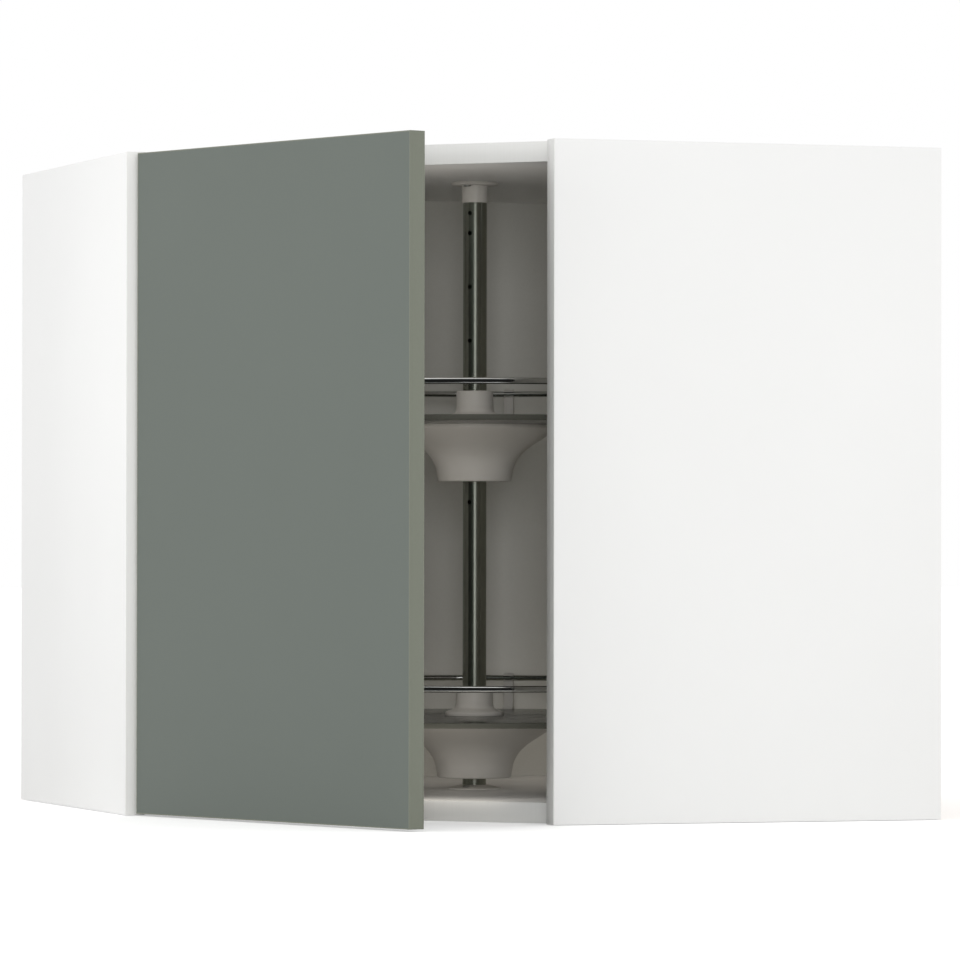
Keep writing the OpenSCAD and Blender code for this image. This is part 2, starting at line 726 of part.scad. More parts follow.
// The space inside, a share of the wall in from the skin and of the plate down from its top
module cone_space(share = 1) {
    roof = -share * plate_under_t;
    inset = share * trumpet_inset;
    under = [for (p = trumpet_curve) if (p[1] + inset < roof) [p[0] - inset, p[1] + inset]];
    foot = cone_foot_r - share * cone_wall;
    rotate_extrude($fn = wide_fn) polygon(concat(
        [[0, roof], [under[0][0], roof]], under,
        [[foot, -cone_h + lip_r], [foot, -cone_h - over], [0, -cone_h - over]]));
}
rib_foot = 0.72 * cone_h;
module cone(z) {
    at_shelf(z - shelf_t) difference() {
        union() {
            difference() {
                rotate_extrude($fn = wide_fn) polygon(concat(
                    [[0, 0], [cone_rim_r, 0]], trumpet_curve,
                    [[cone_foot_r, -cone_h + lip_r], [cone_foot_r - lip_r, -cone_h],
                        [0, -cone_h]]));
                cone_space();
            }
            // the ribs run into the middle of the wall and of the plate
            intersection() {
                cone_space(0.5);
                difference() {
                    for (i = [0 : rib_count / 2 - 1]) rotate(i * 360 / rib_count)
                        translate([-cone_rim_r, -rib_t / 2, -rib_foot])
                            cube([2 * cone_rim_r, rib_t, rib_foot]);
                    translate([0, 0, -2 * cone_h]) cylinder(d = shelf_bore_d,
                        h = 2 * cone_h + shelf_t + bush_foot + bush_flange_t, $fn = round_fn);
                }
            }
            translate([0, 0, bush_foot + bush_flange_t + shelf_t])
                cylinder(d = tube_d, h = -bush_foot - bush_flange_t - shelf_t, $fn = round_fn);
            cylinder(d = shelf_bore_d - 2 * loose, h = shelf_t, $fn = round_fn);
        }
        translate([0, 0, -2 * cone_h]) cylinder(d = bush_out_d + 2 * loose, h = 4 * cone_h,
            $fn = round_fn);
        at_hub_screws() rod(hub_screw_d + 2 * loose, 4 * shelf_t);
    }
}
// The hub's outline: flange, bevel, fillet, drafted body and rounded top
flange_edge = 1;
bevel_h = 4;
fillet_r = 2;
body_edge = 1.5;
hub_draft = 0.5;
hub_r = hub_d / 2;
flange_r = hub_flange_d / 2;
body_foot = hub_flange_t + bevel_h;
module hub(z) {
    at_shelf(z) difference() {
        rotate_extrude($fn = round_fn) polygon([
            [0, 0], [flange_r, 0], [flange_r, hub_flange_t - flange_edge],
            [flange_r - flange_edge, hub_flange_t],
            [hub_r + fillet_r, body_foot - 3 * fillet_r / 4],
            [hub_r + fillet_r / 4, body_foot], [hub_r, body_foot + fillet_r],
            [hub_r - hub_draft, hub_h - body_edge],
            [hub_r - hub_draft - body_edge, hub_h], [0, hub_h]]);
        translate([0, 0, -over]) cylinder(d = bush_out_d + 2 * loose, h = bush_top + loose + over,
            $fn = round_fn);
        cylinder(d = pole_d + 2 * touch, h = 2 * hub_h, $fn = round_fn);
        at_hub_screws() translate([0, 0, -over]) cylinder(d = hub_screw_d + 2 * loose,
            h = hub_screw_bite + over + loose, $fn = round_fn);
    }
}
module bush(z) {
    at_shelf(z) difference() {
        union() {
            translate([0, 0, bush_foot]) cylinder(d = bush_out_d, h = bush_top - bush_foot,
                $fn = round_fn);
            translate([0, 0, bush_foot]) cylinder(d = tube_d, h = bush_flange_t, $fn = round_fn);
        }
        translate([0, 0, -2 * hub_h]) cylinder(d = pole_d + 2 * fit, h = 4 * hub_h,
            $fn = round_fn);
    }
}
module hub_screws(z) {
    at_shelf(z) at_hub_screws() translate([0, 0, -shelf_t - plate_under_t])
        pan_screw(hub_screw_d, hub_screw_l);
}
rail_r = shelf_r - rail_in;
ring_fn = 24;
module ring(d) {
    translate([0, 0, rail_up]) rotate_extrude($fn = wide_fn) translate([rail_r, 0])
        circle(d = d, $fn = ring_fn);
}
module rail(z) {
    at_shelf(z) ring(rail_rod_d);
}
first_post_angle = 63;             // direction of the first rail post
clip_t = 2.4;
clip_in = 14;                // how far the clip grips the shelf
post_body_t = 6;
eye_wall = 1.6;
// A moulded post: a clip over the shelf's rim, a flat stem and an eye round the rail
module rail_posts(z) {
    at_shelf(z) for (i = [0 : post_count - 1]) rotate(first_post_angle + i * 360 / post_count)
        difference() {
            union() {
                translate([shelf_r - clip_in, -post_body_w / 2, -shelf_t - clip_t])
                    cube([clip_in + clip_t, post_body_w, shelf_t + 2 * clip_t]);
                translate([rail_r - post_body_t / 2, -post_body_w / 2, clip_t])
                    cube([post_body_t, post_body_w, rail_up - clip_t]);
                translate([rail_r, 0, rail_up]) rotate([90, 0, 0])
                    rod(rail_rod_d + 2 * eye_wall, post_body_w);
            }
            translate([0, 0, -shelf_t - loose])
                cylinder(r = shelf_r + loose, h = shelf_t + 2 * loose, $fn = wide_fn);
            ring(rail_rod_d + 2 * loose);
        }
}
module lower_shelf() {
    color("#5c5b52") shelf(lower_shelf_z);
}
module lower_cone() {
    color("#cfcdc7") cone(lower_shelf_z);
}
module lower_hub() {
    color("#cfcdc7") hub(lower_shelf_z);
}
module lower_bush() {
    color("#e4e2dc") bush(lower_shelf_z);
}
module lower_hub_screws() {
    color("#c9cbcd") hub_screws(lower_shelf_z);
}
module lower_rail() {
    color("#b8babb") rail(lower_shelf_z);
}
module lower_rail_posts() {
    color("#dad9d5") rail_posts(lower_shelf_z);
}
module upper_shelf() {
    color("#5c5b52") shelf(upper_shelf_z);
}
module upper_cone() {
    color("#cfcdc7") cone(upper_shelf_z);
}
module upper_hub() {
    color("#cfcdc7") hub(upper_shelf_z);
}
module upper_bush() {
    color("#e4e2dc") bush(upper_shelf_z);
}
module upper_hub_screws() {
    color("#c9cbcd") hub_screws(upper_shelf_z);
}
module upper_rail() {
    color("#b8babb") rail(upper_shelf_z);
}
module upper_rail_posts() {
    color("#dad9d5") rail_posts(upper_shelf_z);
}

left_side_panel();
right_side_panel();
top_panel();
bottom_panel();
left_rear_panel();
right_rear_panel();
rear_corner_post();
panel_dowels();
cam_housings();
cam_bolts();
wall_brackets();
bracket_screws();
hinge_mounting_plates();
hinge_plate_screws();
hinge_arms();
hinge_arm_screws();
hinge_arm_pins();
pole();
pole_top_socket();
pole_base_socket();
pole_socket_screws();
shelf_pins();
thrust_rings();
hinge_links();
door_panel();
hinge_cups();
hinge_cup_pins();
hinge_cup_screws();
door_bumpers();
lower_shelf();
lower_cone();
lower_hub();
lower_bush();
lower_hub_screws();
lower_rail();
lower_rail_posts();
upper_shelf();
upper_cone();
upper_hub();
upper_bush();
upper_hub_screws();
upper_rail();
upper_rail_posts();
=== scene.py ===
import bpy
import math
from mathutils import Matrix, Vector


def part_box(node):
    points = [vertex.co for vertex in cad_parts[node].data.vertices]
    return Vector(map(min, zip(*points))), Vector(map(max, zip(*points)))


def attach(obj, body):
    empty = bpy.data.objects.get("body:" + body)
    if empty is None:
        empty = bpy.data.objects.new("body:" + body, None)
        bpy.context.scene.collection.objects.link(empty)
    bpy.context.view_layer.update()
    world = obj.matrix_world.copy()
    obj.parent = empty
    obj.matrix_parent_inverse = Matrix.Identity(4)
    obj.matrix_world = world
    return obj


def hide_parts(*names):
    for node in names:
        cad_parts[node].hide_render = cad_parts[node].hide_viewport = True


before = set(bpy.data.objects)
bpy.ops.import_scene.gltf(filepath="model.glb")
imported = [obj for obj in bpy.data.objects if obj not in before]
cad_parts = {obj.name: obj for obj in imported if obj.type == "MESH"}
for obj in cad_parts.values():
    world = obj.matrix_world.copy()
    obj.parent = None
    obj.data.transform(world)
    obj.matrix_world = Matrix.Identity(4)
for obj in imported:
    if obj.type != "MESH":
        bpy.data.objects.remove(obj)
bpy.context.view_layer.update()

# ---- Side panels ----
# Two boards of 18 mm particleboard, faced on both sides with white melamine foil. A white
# edge band is glued on the front edge, and the rear edge, which stands on the wall, is raw.
# Each has a groove for the rear panel, and bolts and dowels tie it to the top and the bottom.
MM = 0.001
BAND_T = 1 * MM
EASED = 0.4 * MM                   # the small radius that the machine leaves on a banded edge
SWAP_SIDES = Matrix(((0, 1, 0, 0), (1, 0, 0, 0), (0, 0, 1, 0), (0, 0, 0, 1)))


def linear(hex_colour):
    """An sRGB hex colour as linear red, green, blue and alpha."""
    channels = [int(hex_colour[i:i + 2], 16) / 255 for i in (1, 3, 5)]
    return [c / 12.92 if c <= 0.04045 else ((c + 0.055) / 1.055) ** 2.4 for c in channels] + [1.0]


def add_node(tree, kind, inputs=None, **settings):
    """A shader node with its settings, and with a value or a link on each input named."""
    node = tree.nodes.new(kind)
    for name, value in settings.items():
        setattr(node, name, value)
    for name, value in (inputs or {}).items():
        if isinstance(value, bpy.types.NodeSocket):
            tree.links.new(value, node.inputs[name])
        else:
            node.inputs[name].default_value = value
    return node


def start_material(name, sockets):
    """A material, its node tree, its shader with these sockets set, and the place on the piece."""
    material = bpy.data.materials.new(name)
    material.use_nodes = True
    tree = material.node_tree
    shader = tree.nodes["Principled BSDF"]
    for socket, value in sockets.items():
        shader.inputs[socket].default_value = value
    return material, tree, shader, add_node(tree, "ShaderNodeTexCoord").outputs["Object"]


def activate(piece):
    """Leaves object mode on, with this piece alone selected."""
    if bpy.context.object and bpy.context.object.mode != "OBJECT":
        bpy.ops.object.mode_set(mode="OBJECT")
    bpy.ops.object.select_all(action="DESELECT")
    piece.select_set(True)
    bpy.context.view_layer.objects.active = piece


def name_piece(name):
    """Names the new primitive and puts its place and size into its mesh."""
    piece = bpy.context.object
    piece.name = piece.data.name = name
    bpy.ops.object.transform_apply(location=True, rotation=True, scale=True)
    return piece


def add_board(name, low, high):
    """A block between two corners."""
    bpy.ops.object.select_all(action="DESELECT")
    low, high = Vector(low), Vector(high)
    bpy.ops.mesh.primitive_cube_add(size=1, location=(low + high) / 2, scale=high - low)
    return name_piece(name)


def add_rod(name, start, end, radius, sides=64):
    """A round bar from one point to another."""
    bpy.ops.object.select_all(action="DESELECT")
    start, end = Vector(start), Vector(end)
    turn = (end - start).to_track_quat("Z", "Y").to_euler()
    bpy.ops.mesh.primitive_cylinder_add(vertices=sides, radius=radius,
        depth=(end - start).length, location=(start + end) / 2, rotation=turn)
    return name_piece(name)


def cut(piece, *tools):
    """Takes the tools out of the piece, as a router or a drill does."""
    for tool in tools:
        modifier = piece.modifiers.new("cut", "BOOLEAN")
        modifier.operation = "DIFFERENCE"
        modifier.solver = "EXACT"
        modifier.object = tool
        activate(piece)
        bpy.ops.object.modifier_apply(modifier=modifier.name)
        bpy.data.objects.remove(tool)


def slice_at(piece, point, normal, keep_behind=False):
    """Cuts the faces along a plane, and takes off what is in front of it where asked."""
    activate(piece)
    bpy.ops.object.mode_set(mode="EDIT")
    bpy.ops.mesh.select_all(action="SELECT")
    bpy.ops.mesh.bisect(plane_co=point, plane_no=normal, use_fill=keep_behind,
        clear_outer=keep_behind)
    bpy.ops.object.mode_set(mode="OBJECT")


def ease(piece, width, steps=2, angle=40, smooth=30):
    """Rounds every edge that is sharper than the angle, and shades the rest smooth."""
    modifier = piece.modifiers.new("ease", "BEVEL")
    modifier.width = width
    modifier.segments = steps
    modifier.limit_method = "ANGLE"
    modifier.angle_limit = math.radians(angle)
    activate(piece)
    bpy.ops.object.modifier_apply(modifier=modifier.name)
    bpy.ops.object.shade_smooth_by_angle(angle=math.radians(smooth))


def paint(piece, material, test=None):
    """Gives a material to the faces whose middle and normal pass the test, or to them all."""
    if material.name not in piece.data.materials:
        piece.data.materials.append(material)
    index = list(piece.data.materials).index(material)
    for face in piece.data.polygons:
        if test is None or test(face.center, face.normal):
            face.material_index = index


def copy_piece(piece, name, matrix):
    """A copy with its own mesh, moved by a matrix, and turned right side out if mirrored."""
    twin = piece.copy()
    twin.data = piece.data.copy()
    twin.name = twin.data.name = name
    bpy.context.collection.objects.link(twin)
    twin.data.transform(matrix)
    if matrix.determinant() < 0:
        activate(twin)
        bpy.ops.object.mode_set(mode="EDIT")
        bpy.ops.mesh.select_all(action="SELECT")
        bpy.ops.mesh.flip_normals()
        bpy.ops.object.mode_set(mode="OBJECT")
    return twin


def stand_for(piece, body, slot, *nodes):
    """The piece rides on the body and replaces the nodes; the slot is not used."""
    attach(piece, body)
    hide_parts(*nodes)


# Melamine foil: printed white paper pressed with resin. The eye sees a silky, very slightly
# pebbled white whose tone drifts a little across a board. The real pebble is about 0.5 mm wide,
# and it is drawn 2 mm wide here so that it shows.
white_foil, tree, shader, place = start_material("white_melamine_foil", {"IOR": 1.5})
drift = add_node(tree, "ShaderNodeTexNoise", {"Vector": place, "Scale": 7.0, "Detail": 3.0})
tone = add_node(tree, "ShaderNodeMix", {0: drift.outputs["Fac"], 6: linear("#f5f5f4"),
    7: linear("#f1f1f0")}, data_type="RGBA")
tree.links.new(tone.outputs[2], shader.inputs["Base Color"])
pebble = add_node(tree, "ShaderNodeTexVoronoi", {"Vector": place, "Scale": 0.5 / MM},
    feature="SMOOTH_F1")
gloss = add_node(tree, "ShaderNodeMapRange", {"Value": pebble.outputs["Distance"],
    "To Min": 0.36, "To Max": 0.44})
tree.links.new(gloss.outputs["Result"], shader.inputs["Roughness"])
bump = add_node(tree, "ShaderNodeBump", {"Height": pebble.outputs["Distance"],
    "Strength": 0.1, "Distance": 0.02 * MM})
tree.links.new(bump.outputs["Normal"], shader.inputs["Normal"])

# ABS edge band: extruded white plastic tape, glued hot and scraped flush. It is a little
# smoother and glossier than the foil, with faint scraper lines along its length, and a hair
# darker where the glue line shows. The lines are 0.3 mm apart, drawn 1.5 mm apart.
white_band, tree, shader, place = start_material("white_abs_edge_band", {"IOR": 1.53})
along = add_node(tree, "ShaderNodeMapping", {"Vector": place, "Scale": (1.0, 1.0, 0.02)})
lines = add_node(tree, "ShaderNodeTexNoise", {"Vector": along.outputs["Vector"],
    "Scale": 0.66 / MM, "Detail": 2.0})
tone = add_node(tree, "ShaderNodeMix", {0: lines.outputs["Fac"], 6: linear("#f2f2f0"),
    7: linear("#ededea")}, data_type="RGBA")
tree.links.new(tone.outputs[2], shader.inputs["Base Color"])
gloss = add_node(tree, "ShaderNodeMapRange", {"Value": lines.outputs["Fac"],
    "To Min": 0.26, "To Max": 0.36})
tree.links.new(gloss.outputs["Result"], shader.inputs["Roughness"])
bump = add_node(tree, "ShaderNodeBump", {"Height": lines.outputs["Fac"], "Strength": 0.15,
    "Distance": 0.03 * MM})
tree.links.new(bump.outputs["Normal"], shader.inputs["Normal"])

# Raw particleboard: pressed wood chips, sawn and left bare. The eye sees tan flakes of several
# tones, 1 to 4 mm long, with small dark pits between them.
raw_board, tree, shader, place = start_material("raw_particleboard", {"Roughness": 0.85})
flat = add_node(tree, "ShaderNodeMapping", {"Vector": place, "Scale": (1.0, 1.0, 0.5)})
chips = add_node(tree, "ShaderNodeTexVoronoi", {"Vector": flat.outputs["Vector"],
    "Scale": 0.45 / MM})
tan = add_node(tree, "ShaderNodeValToRGB", {"Fac": chips.outputs["Color"]})
tan.color_ramp.elements[0].color = linear("#8f7351")
tan.color_ramp.elements[1].color = linear("#d2b88f")
tree.links.new(tan.outputs["Color"], shader.inputs["Base Color"])
bump = add_node(tree, "ShaderNodeBump", {"Height": chips.outputs["Distance"], "Strength": 0.6,
    "Distance": 0.3 * MM})
tree.links.new(bump.outputs["Normal"], shader.inputs["Normal"])

side_low, side_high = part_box("left_side_panel")
rear_low, rear_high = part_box("left_rear_panel")
GROOVE_SLACK = 0.1 * MM


def rear_groove():
    """The saw cut that takes the left rear panel's edges."""
    slack = Vector((GROOVE_SLACK,) * 3)
    return add_board("groove", rear_low - slack, rear_high + slack)


def is_rear(middle, normal):
    return normal.y > 0.9 and middle.y > -1 * MM


left_side = add_board("side_panel_left", side_low, side_high)
slice_at(left_side, (0, side_low.y + BAND_T, 0), (0, 1, 0))
cut(left_side, rear_groove())
ease(left_side, EASED)
paint(left_side, white_foil)
paint(left_side, raw_board, is_rear)
paint(left_side, white_band, lambda middle, normal: middle.y < side_low.y + 0.9 * BAND_T)
right_side = copy_piece(left_side, "side_panel_right", SWAP_SIDES)
stand_for(left_side, "cabinet", "white_foil", "left_side_panel")
stand_for(right_side, "cabinet", "white_foil", "right_side_panel")

# ---- Top and bottom panels ----
# Two five-sided boards of the same faced particleboard between the side panels, sawn across
# the corner and banded along that front edge. Round cams of zinc sit in blind bores on the
# hidden face and pull the side panels' bolts in.
CAM_R = 7.6 * MM
CAM_DEEP = 12.6 * MM
CAM_ROWS = (-70 * MM, -298 * MM)
CAM_IN = -628 * MM
CABINET_H = 600 * MM
INNER_FACE = -652 * MM             # the inside face of each side panel
cut_front = min(v.co.x + v.co.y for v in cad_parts["top_panel"].data.vertices)
FRONT = Vector((-1, -1, 0)).normalized()
front_at = Vector((cut_front / 2, cut_front / 2, 0))


def cam_bores(face_z, into):
    """The drills for a board's four cams, from its hidden face inwards."""
    for row in CAM_ROWS:
        for x, y in ((CAM_IN, row), (row, CAM_IN)):
            yield add_rod("bore", (x, y, face_z - into), (x, y, face_z + into * CAM_DEEP / MM),
                CAM_R)


def is_sawn_rear(middle, normal):
    return max(normal.x, normal.y) > 0.9 and max(middle.x, middle.y) > -1 * MM


def is_bore_wall(middle, normal):
    return (abs(middle.x - CAM_IN) < CAM_R and 0 < middle.z < CABINET_H
        and abs(normal.z) < 0.5 and middle.x > INNER_FACE)


for name, node, face_z, into in (("top_panel_banded", "top_panel", CABINET_H, -MM),
        ("bottom_panel_banded", "bottom_panel", 0, MM)):
    low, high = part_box(node)
    deck = add_board(name, low, high)
    slice_at(deck, front_at, FRONT, keep_behind=True)
    slice_at(deck, front_at - FRONT * BAND_T, FRONT)
    groove = rear_groove()
    groove_twin = copy_piece(groove, "groove_twin", SWAP_SIDES)
    cut(deck, groove, groove_twin, *cam_bores(face_z, into))
    ease(deck, EASED)
    paint(deck, white_foil)
    paint(deck, raw_board, is_sawn_rear)
    paint(deck, raw_board, is_bore_wall)
    paint(deck, white_band,
        lambda middle, normal: (middle - front_at).dot(FRONT) > -0.9 * BAND_T)
    stand_for(deck, "cabinet", "white_foil", node)

# ---- Rear panels ----
# Two sheets of 3 mm hard fibreboard, painted white on the side that faces the room and left
# brown behind. They are slid into the grooves of the other panels, and the upper outer corner
# is sawn off to clear the hanging bolt.
# Painted fibreboard: a thin coat over pressed fibres; flatter and duller than the foil.
white_paint, tree, shader, place = start_material("painted_fibreboard", {"Roughness": 0.55})
fibre = add_node(tree, "ShaderNodeTexNoise", {"Vector": place, "Scale": 0.4 / MM,
    "Detail": 4.0})
tone = add_node(tree, "ShaderNodeMix", {0: fibre.outputs["Fac"], 6: linear("#f0f0ec"),
    7: linear("#e9e9e4")}, data_type="RGBA")
tree.links.new(tone.outputs[2], shader.inputs["Base Color"])
bump = add_node(tree, "ShaderNodeBump", {"Height": fibre.outputs["Fac"], "Strength": 0.2,
    "Distance": 0.05 * MM})
tree.links.new(bump.outputs["Normal"], shader.inputs["Normal"])

# Hardboard back: steamed wood fibre pressed on a wire screen. The eye sees a dark tan face with
# the screen's square weave, 1.2 mm apart, drawn 3 mm apart, and lighter and darker clouds.
brown_board, tree, shader, place = start_material("hardboard_screen_side", {"Roughness": 0.8})
clouds = add_node(tree, "ShaderNodeTexNoise", {"Vector": place, "Scale": 40.0, "Detail": 5.0})
tone = add_node(tree, "ShaderNodeMix", {0: clouds.outputs["Fac"], 6: linear("#7d5f41"),
    7: linear("#9a7a56")}, data_type="RGBA")
tree.links.new(tone.outputs[2], shader.inputs["Base Color"])
screen_x = add_node(tree, "ShaderNodeTexWave", {"Vector": place, "Scale": 0.105 / MM},
    bands_direction="X")
screen_z = add_node(tree, "ShaderNodeTexWave", {"Vector": place, "Scale": 0.105 / MM},
    bands_direction="Z")
weave = add_node(tree, "ShaderNodeMath", {0: screen_x.outputs["Fac"],
    1: screen_z.outputs["Fac"]}, operation="MULTIPLY")
bump = add_node(tree, "ShaderNodeBump", {"Height": weave.outputs["Value"], "Strength": 0.5,
    "Distance": 0.2 * MM})
tree.links.new(bump.outputs["Normal"], shader.inputs["Normal"])

corner_x = max(v.co.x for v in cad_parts["left_rear_panel"].data.vertices
    if v.co.z > rear_high.z - 1 * MM and v.co.x < -400 * MM)
corner_cut = Vector((-1, 0, 1)).normalized()
left_rear = add_board("rear_panel_left", rear_low, rear_high)
slice_at(left_rear, (corner_x, 0, rear_high.z), corner_cut, keep_behind=True)
ease(left_rear, 0.2 * MM, steps=1)
paint(left_rear, brown_board)
paint(left_rear, white_paint, lambda middle, normal: normal.y < -0.5)
right_rear = copy_piece(left_rear, "rear_panel_right", SWAP_SIDES)
stand_for(left_rear, "cabinet", "white_fibreboard", "left_rear_panel")
stand_for(right_rear, "cabinet", "white_fibreboard", "right_rear_panel")

# ---- Rear corner post ----
# A square post of planed pine in the rear corner, grooved on two sides for the rear panels and
# screwed from above and below. Its room-side corners are chamfered.
# Planed pine: pale straw with darker growth lines along the length, 3 to 6 mm apart.
pine, tree, shader, place = start_material("planed_pine", {"Roughness": 0.5})
stretched = add_node(tree, "ShaderNodeMapping", {"Vector": place, "Scale": (1.0, 1.0, 0.05)})
wobble = add_node(tree, "ShaderNodeTexNoise", {"Vector": stretched.outputs["Vector"],
    "Scale": 120.0, "Detail": 3.0, "Distortion": 0.4})
rings = add_node(tree, "ShaderNodeTexWave", {"Vector": stretched.outputs["Vector"],
    "Scale": 0.06 / MM, "Distortion": 4.0, "Detail": 2.0, "Detail Scale": 1.5},
    bands_direction="DIAGONAL")
grain = add_node(tree, "ShaderNodeMath", {0: rings.outputs["Fac"], 1: wobble.outputs["Fac"]},
    operation="MULTIPLY")
tone = add_node(tree, "ShaderNodeMix", {0: grain.outputs["Value"], 6: linear("#ead8b4"),
    7: linear("#b98f5c")}, data_type="RGBA")
tree.links.new(tone.outputs[2], shader.inputs["Base Color"])
bump = add_node(tree, "ShaderNodeBump", {"Height": grain.outputs["Value"], "Strength": 0.2,
    "Distance": 0.1 * MM})
tree.links.new(bump.outputs["Normal"], shader.inputs["Normal"])

CHAMFER = 8 * MM
post_low, post_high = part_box("rear_corner_post")
post = add_board("corner_post", post_low, post_high)
activate(post)
for edge in post.data.edges:
    ends = [post.data.vertices[i].co for i in edge.vertices]
    edge.select = all(end.x < post_low.x + MM and end.y < post_low.y + MM for end in ends)
for face in post.data.polygons:
    face.select = False
bpy.ops.object.mode_set(mode="EDIT")
bpy.ops.mesh.select_mode(type="EDGE")
bpy.ops.mesh.bevel(offset=CHAMFER, segments=1)
bpy.ops.object.mode_set(mode="OBJECT")
groove = rear_groove()
cut(post, copy_piece(groove, "groove_twin", SWAP_SIDES), groove)
ease(post, 0.6 * MM)
paint(post, pine)
stand_for(post, "cabinet", "pine", "rear_corner_post")

# ---- Dowels, cams and bolts ----
# Fluted beech dowels are glued across the joints. The zinc cams are die cast with a cross slot,
# and the bolts are zinc-plated steel. They are hidden in the boards, apart from the cams' faces.
# Beech: pinkish tan with short dark flecks along the grain, 1 mm wide.
beech, tree, shader, place = start_material("turned_beech", {"Roughness": 0.6})
flecks = add_node(tree, "ShaderNodeTexNoise", {"Vector": place, "Scale": 0.5 / MM,
    "Detail": 2.0})
tone = add_node(tree, "ShaderNodeMix", {0: flecks.outputs["Fac"], 6: linear("#d9b98c"),
    7: linear("#b88f62")}, data_type="RGBA")
tree.links.new(tone.outputs[2], shader.inputs["Base Color"])

# Die-cast zinc: a cool mid grey, slightly grainy and satin, with flow marks a few mm wide.
cast_zinc, tree, shader, place = start_material("die_cast_zinc", {"Metallic": 1.0})
flow = add_node(tree, "ShaderNodeTexNoise", {"Vector": place, "Scale": 0.3 / MM,
    "Detail": 5.0})
tone = add_node(tree, "ShaderNodeMix", {0: flow.outputs["Fac"], 6: linear("#9d9fa1"),
    7: linear("#c2c4c6")}, data_type="RGBA")
tree.links.new(tone.outputs[2], shader.inputs["Base Color"])
gloss = add_node(tree, "ShaderNodeMapRange", {"Value": flow.outputs["Fac"], "To Min": 0.35,
    "To Max": 0.55})
tree.links.new(gloss.outputs["Result"], shader.inputs["Roughness"])
bump = add_node(tree, "ShaderNodeBump", {"Height": flow.outputs["Fac"], "Strength": 0.2,
    "Distance": 0.05 * MM})
tree.links.new(bump.outputs["Normal"], shader.inputs["Normal"])

# Zinc-plated steel: bright blue-white passivated plating over rolled steel. The eye sees a soft
# grey mirror with faint bluish and yellowish clouds, 10 mm across.
plated_steel, tree, shader, place = start_material("zinc_plated_steel", {"Metallic": 1.0})
bloom = add_node(tree, "ShaderNodeTexNoise", {"Vector": place, "Scale": 0.1 / MM,
    "Detail": 3.0})
tone = add_node(tree, "ShaderNodeMix", {0: bloom.outputs["Fac"], 6: linear("#b9bfc6"),
    7: linear("#cfcbc0")}, data_type="RGBA")
tree.links.new(tone.outputs[2], shader.inputs["Base Color"])
gloss = add_node(tree, "ShaderNodeMapRange", {"Value": bloom.outputs["Fac"], "To Min": 0.22,
    "To Max": 0.36})
tree.links.new(gloss.outputs["Result"], shader.inputs["Roughness"])


def finish_node(material, *nodes):
    """Gives a material to CAD nodes that are shown as they are."""
    for node in nodes:
        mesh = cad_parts[node].data
        mesh.materials.clear()
        mesh.materials.append(material)


def ease_node(name, node, material, body, slot, width, smooth=30):
    """A copy of a CAD node with its loose triangles joined into faces and its edges rounded."""
    piece = copy_piece(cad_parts[node], name, Matrix.Identity(4))
    for key in list(piece.keys()):
        del piece[key]
    activate(piece)
    bpy.ops.object.mode_set(mode="EDIT")
    bpy.ops.mesh.select_all(action="SELECT")
    bpy.ops.mesh.remove_doubles(threshold=0.005 * MM)
    bpy.ops.mesh.dissolve_limited(angle_limit=math.radians(0.5))
    bpy.ops.object.mode_set(mode="OBJECT")
    ease(piece, width, smooth=smooth)
    modifier = piece.modifiers.new("flat_faces", "WEIGHTED_NORMAL")
    modifier.keep_sharp = True
    bpy.ops.object.modifier_apply(modifier=modifier.name)
    piece.data.materials.clear()
    paint(piece, material)
    stand_for(piece, body, slot, node)
    return piece


finish_node(beech, "panel_dowels")
finish_node(plated_steel, "cam_bolts")
ease_node("cams", "cam_housings", cast_zinc, "cabinet", "zinc", 0.3 * MM)

# ---- Wall brackets ----
# Angles of 2.5 mm zinc-plated steel in the upper rear corners, each screwed to its side panel.
# A bolt in the wall goes through the round hole and carries the cabinet.
ease_node("hanging_brackets", "wall_brackets", plated_steel, "cabinet", "zinc_steel", 0.5 * MM)

# ---- Screws ----
# Zinc-plated steel screws with a domed pan head and a cross recess, cold headed in one piece.
# One is shaped here at a shank of 1 mm, and every screw of the cabinet is a copy of it.
HEAD_WIDE = 2.0                    # the head's width and height as shares of the shank's
HEAD_HIGH = 0.5
CROSS = Matrix.Rotation(math.radians(90), 4, "Z")


def shape_screw(length):
    """A screw along +Z with its head below the origin, for a shank of 1 mm."""
    screw = add_rod("screw", (0, 0, -HEAD_HIGH * MM), (0, 0, 0), HEAD_WIDE / 2 * MM, 32)
    activate(screw)
    for face in screw.data.polygons:
        face.select = face.normal.z > 0.9
    bpy.ops.object.mode_set(mode="EDIT")
    bpy.ops.mesh.inset(thickness=(HEAD_WIDE / 2 - 0.5) * MM)
    bpy.ops.mesh.extrude_region_move(TRANSFORM_OT_translate={"value": (0, 0, length * MM)})
    bpy.ops.object.mode_set(mode="OBJECT")
    modifier = screw.modifiers.new("dome", "BEVEL")
    modifier.width = 0.2 * MM
    modifier.segments = 3
    modifier.limit_method = "ANGLE"
    modifier.angle_limit = math.radians(50)
    bpy.ops.object.modifier_apply(modifier=modifier.name)
    slot = add_board("slot", (-0.5 * MM, -0.09 * MM, -0.6 * MM), (0.5 * MM, 0.09 * MM,
        -0.22 * MM))
    cut(screw, slot, copy_piece(slot, "slot_twin", CROSS))
    activate(screw)
    bpy.ops.object.shade_smooth_by_angle(angle=math.radians(35))
    return screw


def join_pieces(name, pieces):
    """Joins the pieces into one under a name."""
    activate(pieces[0])
    for piece in pieces:
        piece.select_set(True)
    bpy.ops.object.join()
    pieces[0].name = pieces[0].data.name = name
    return pieces[0]


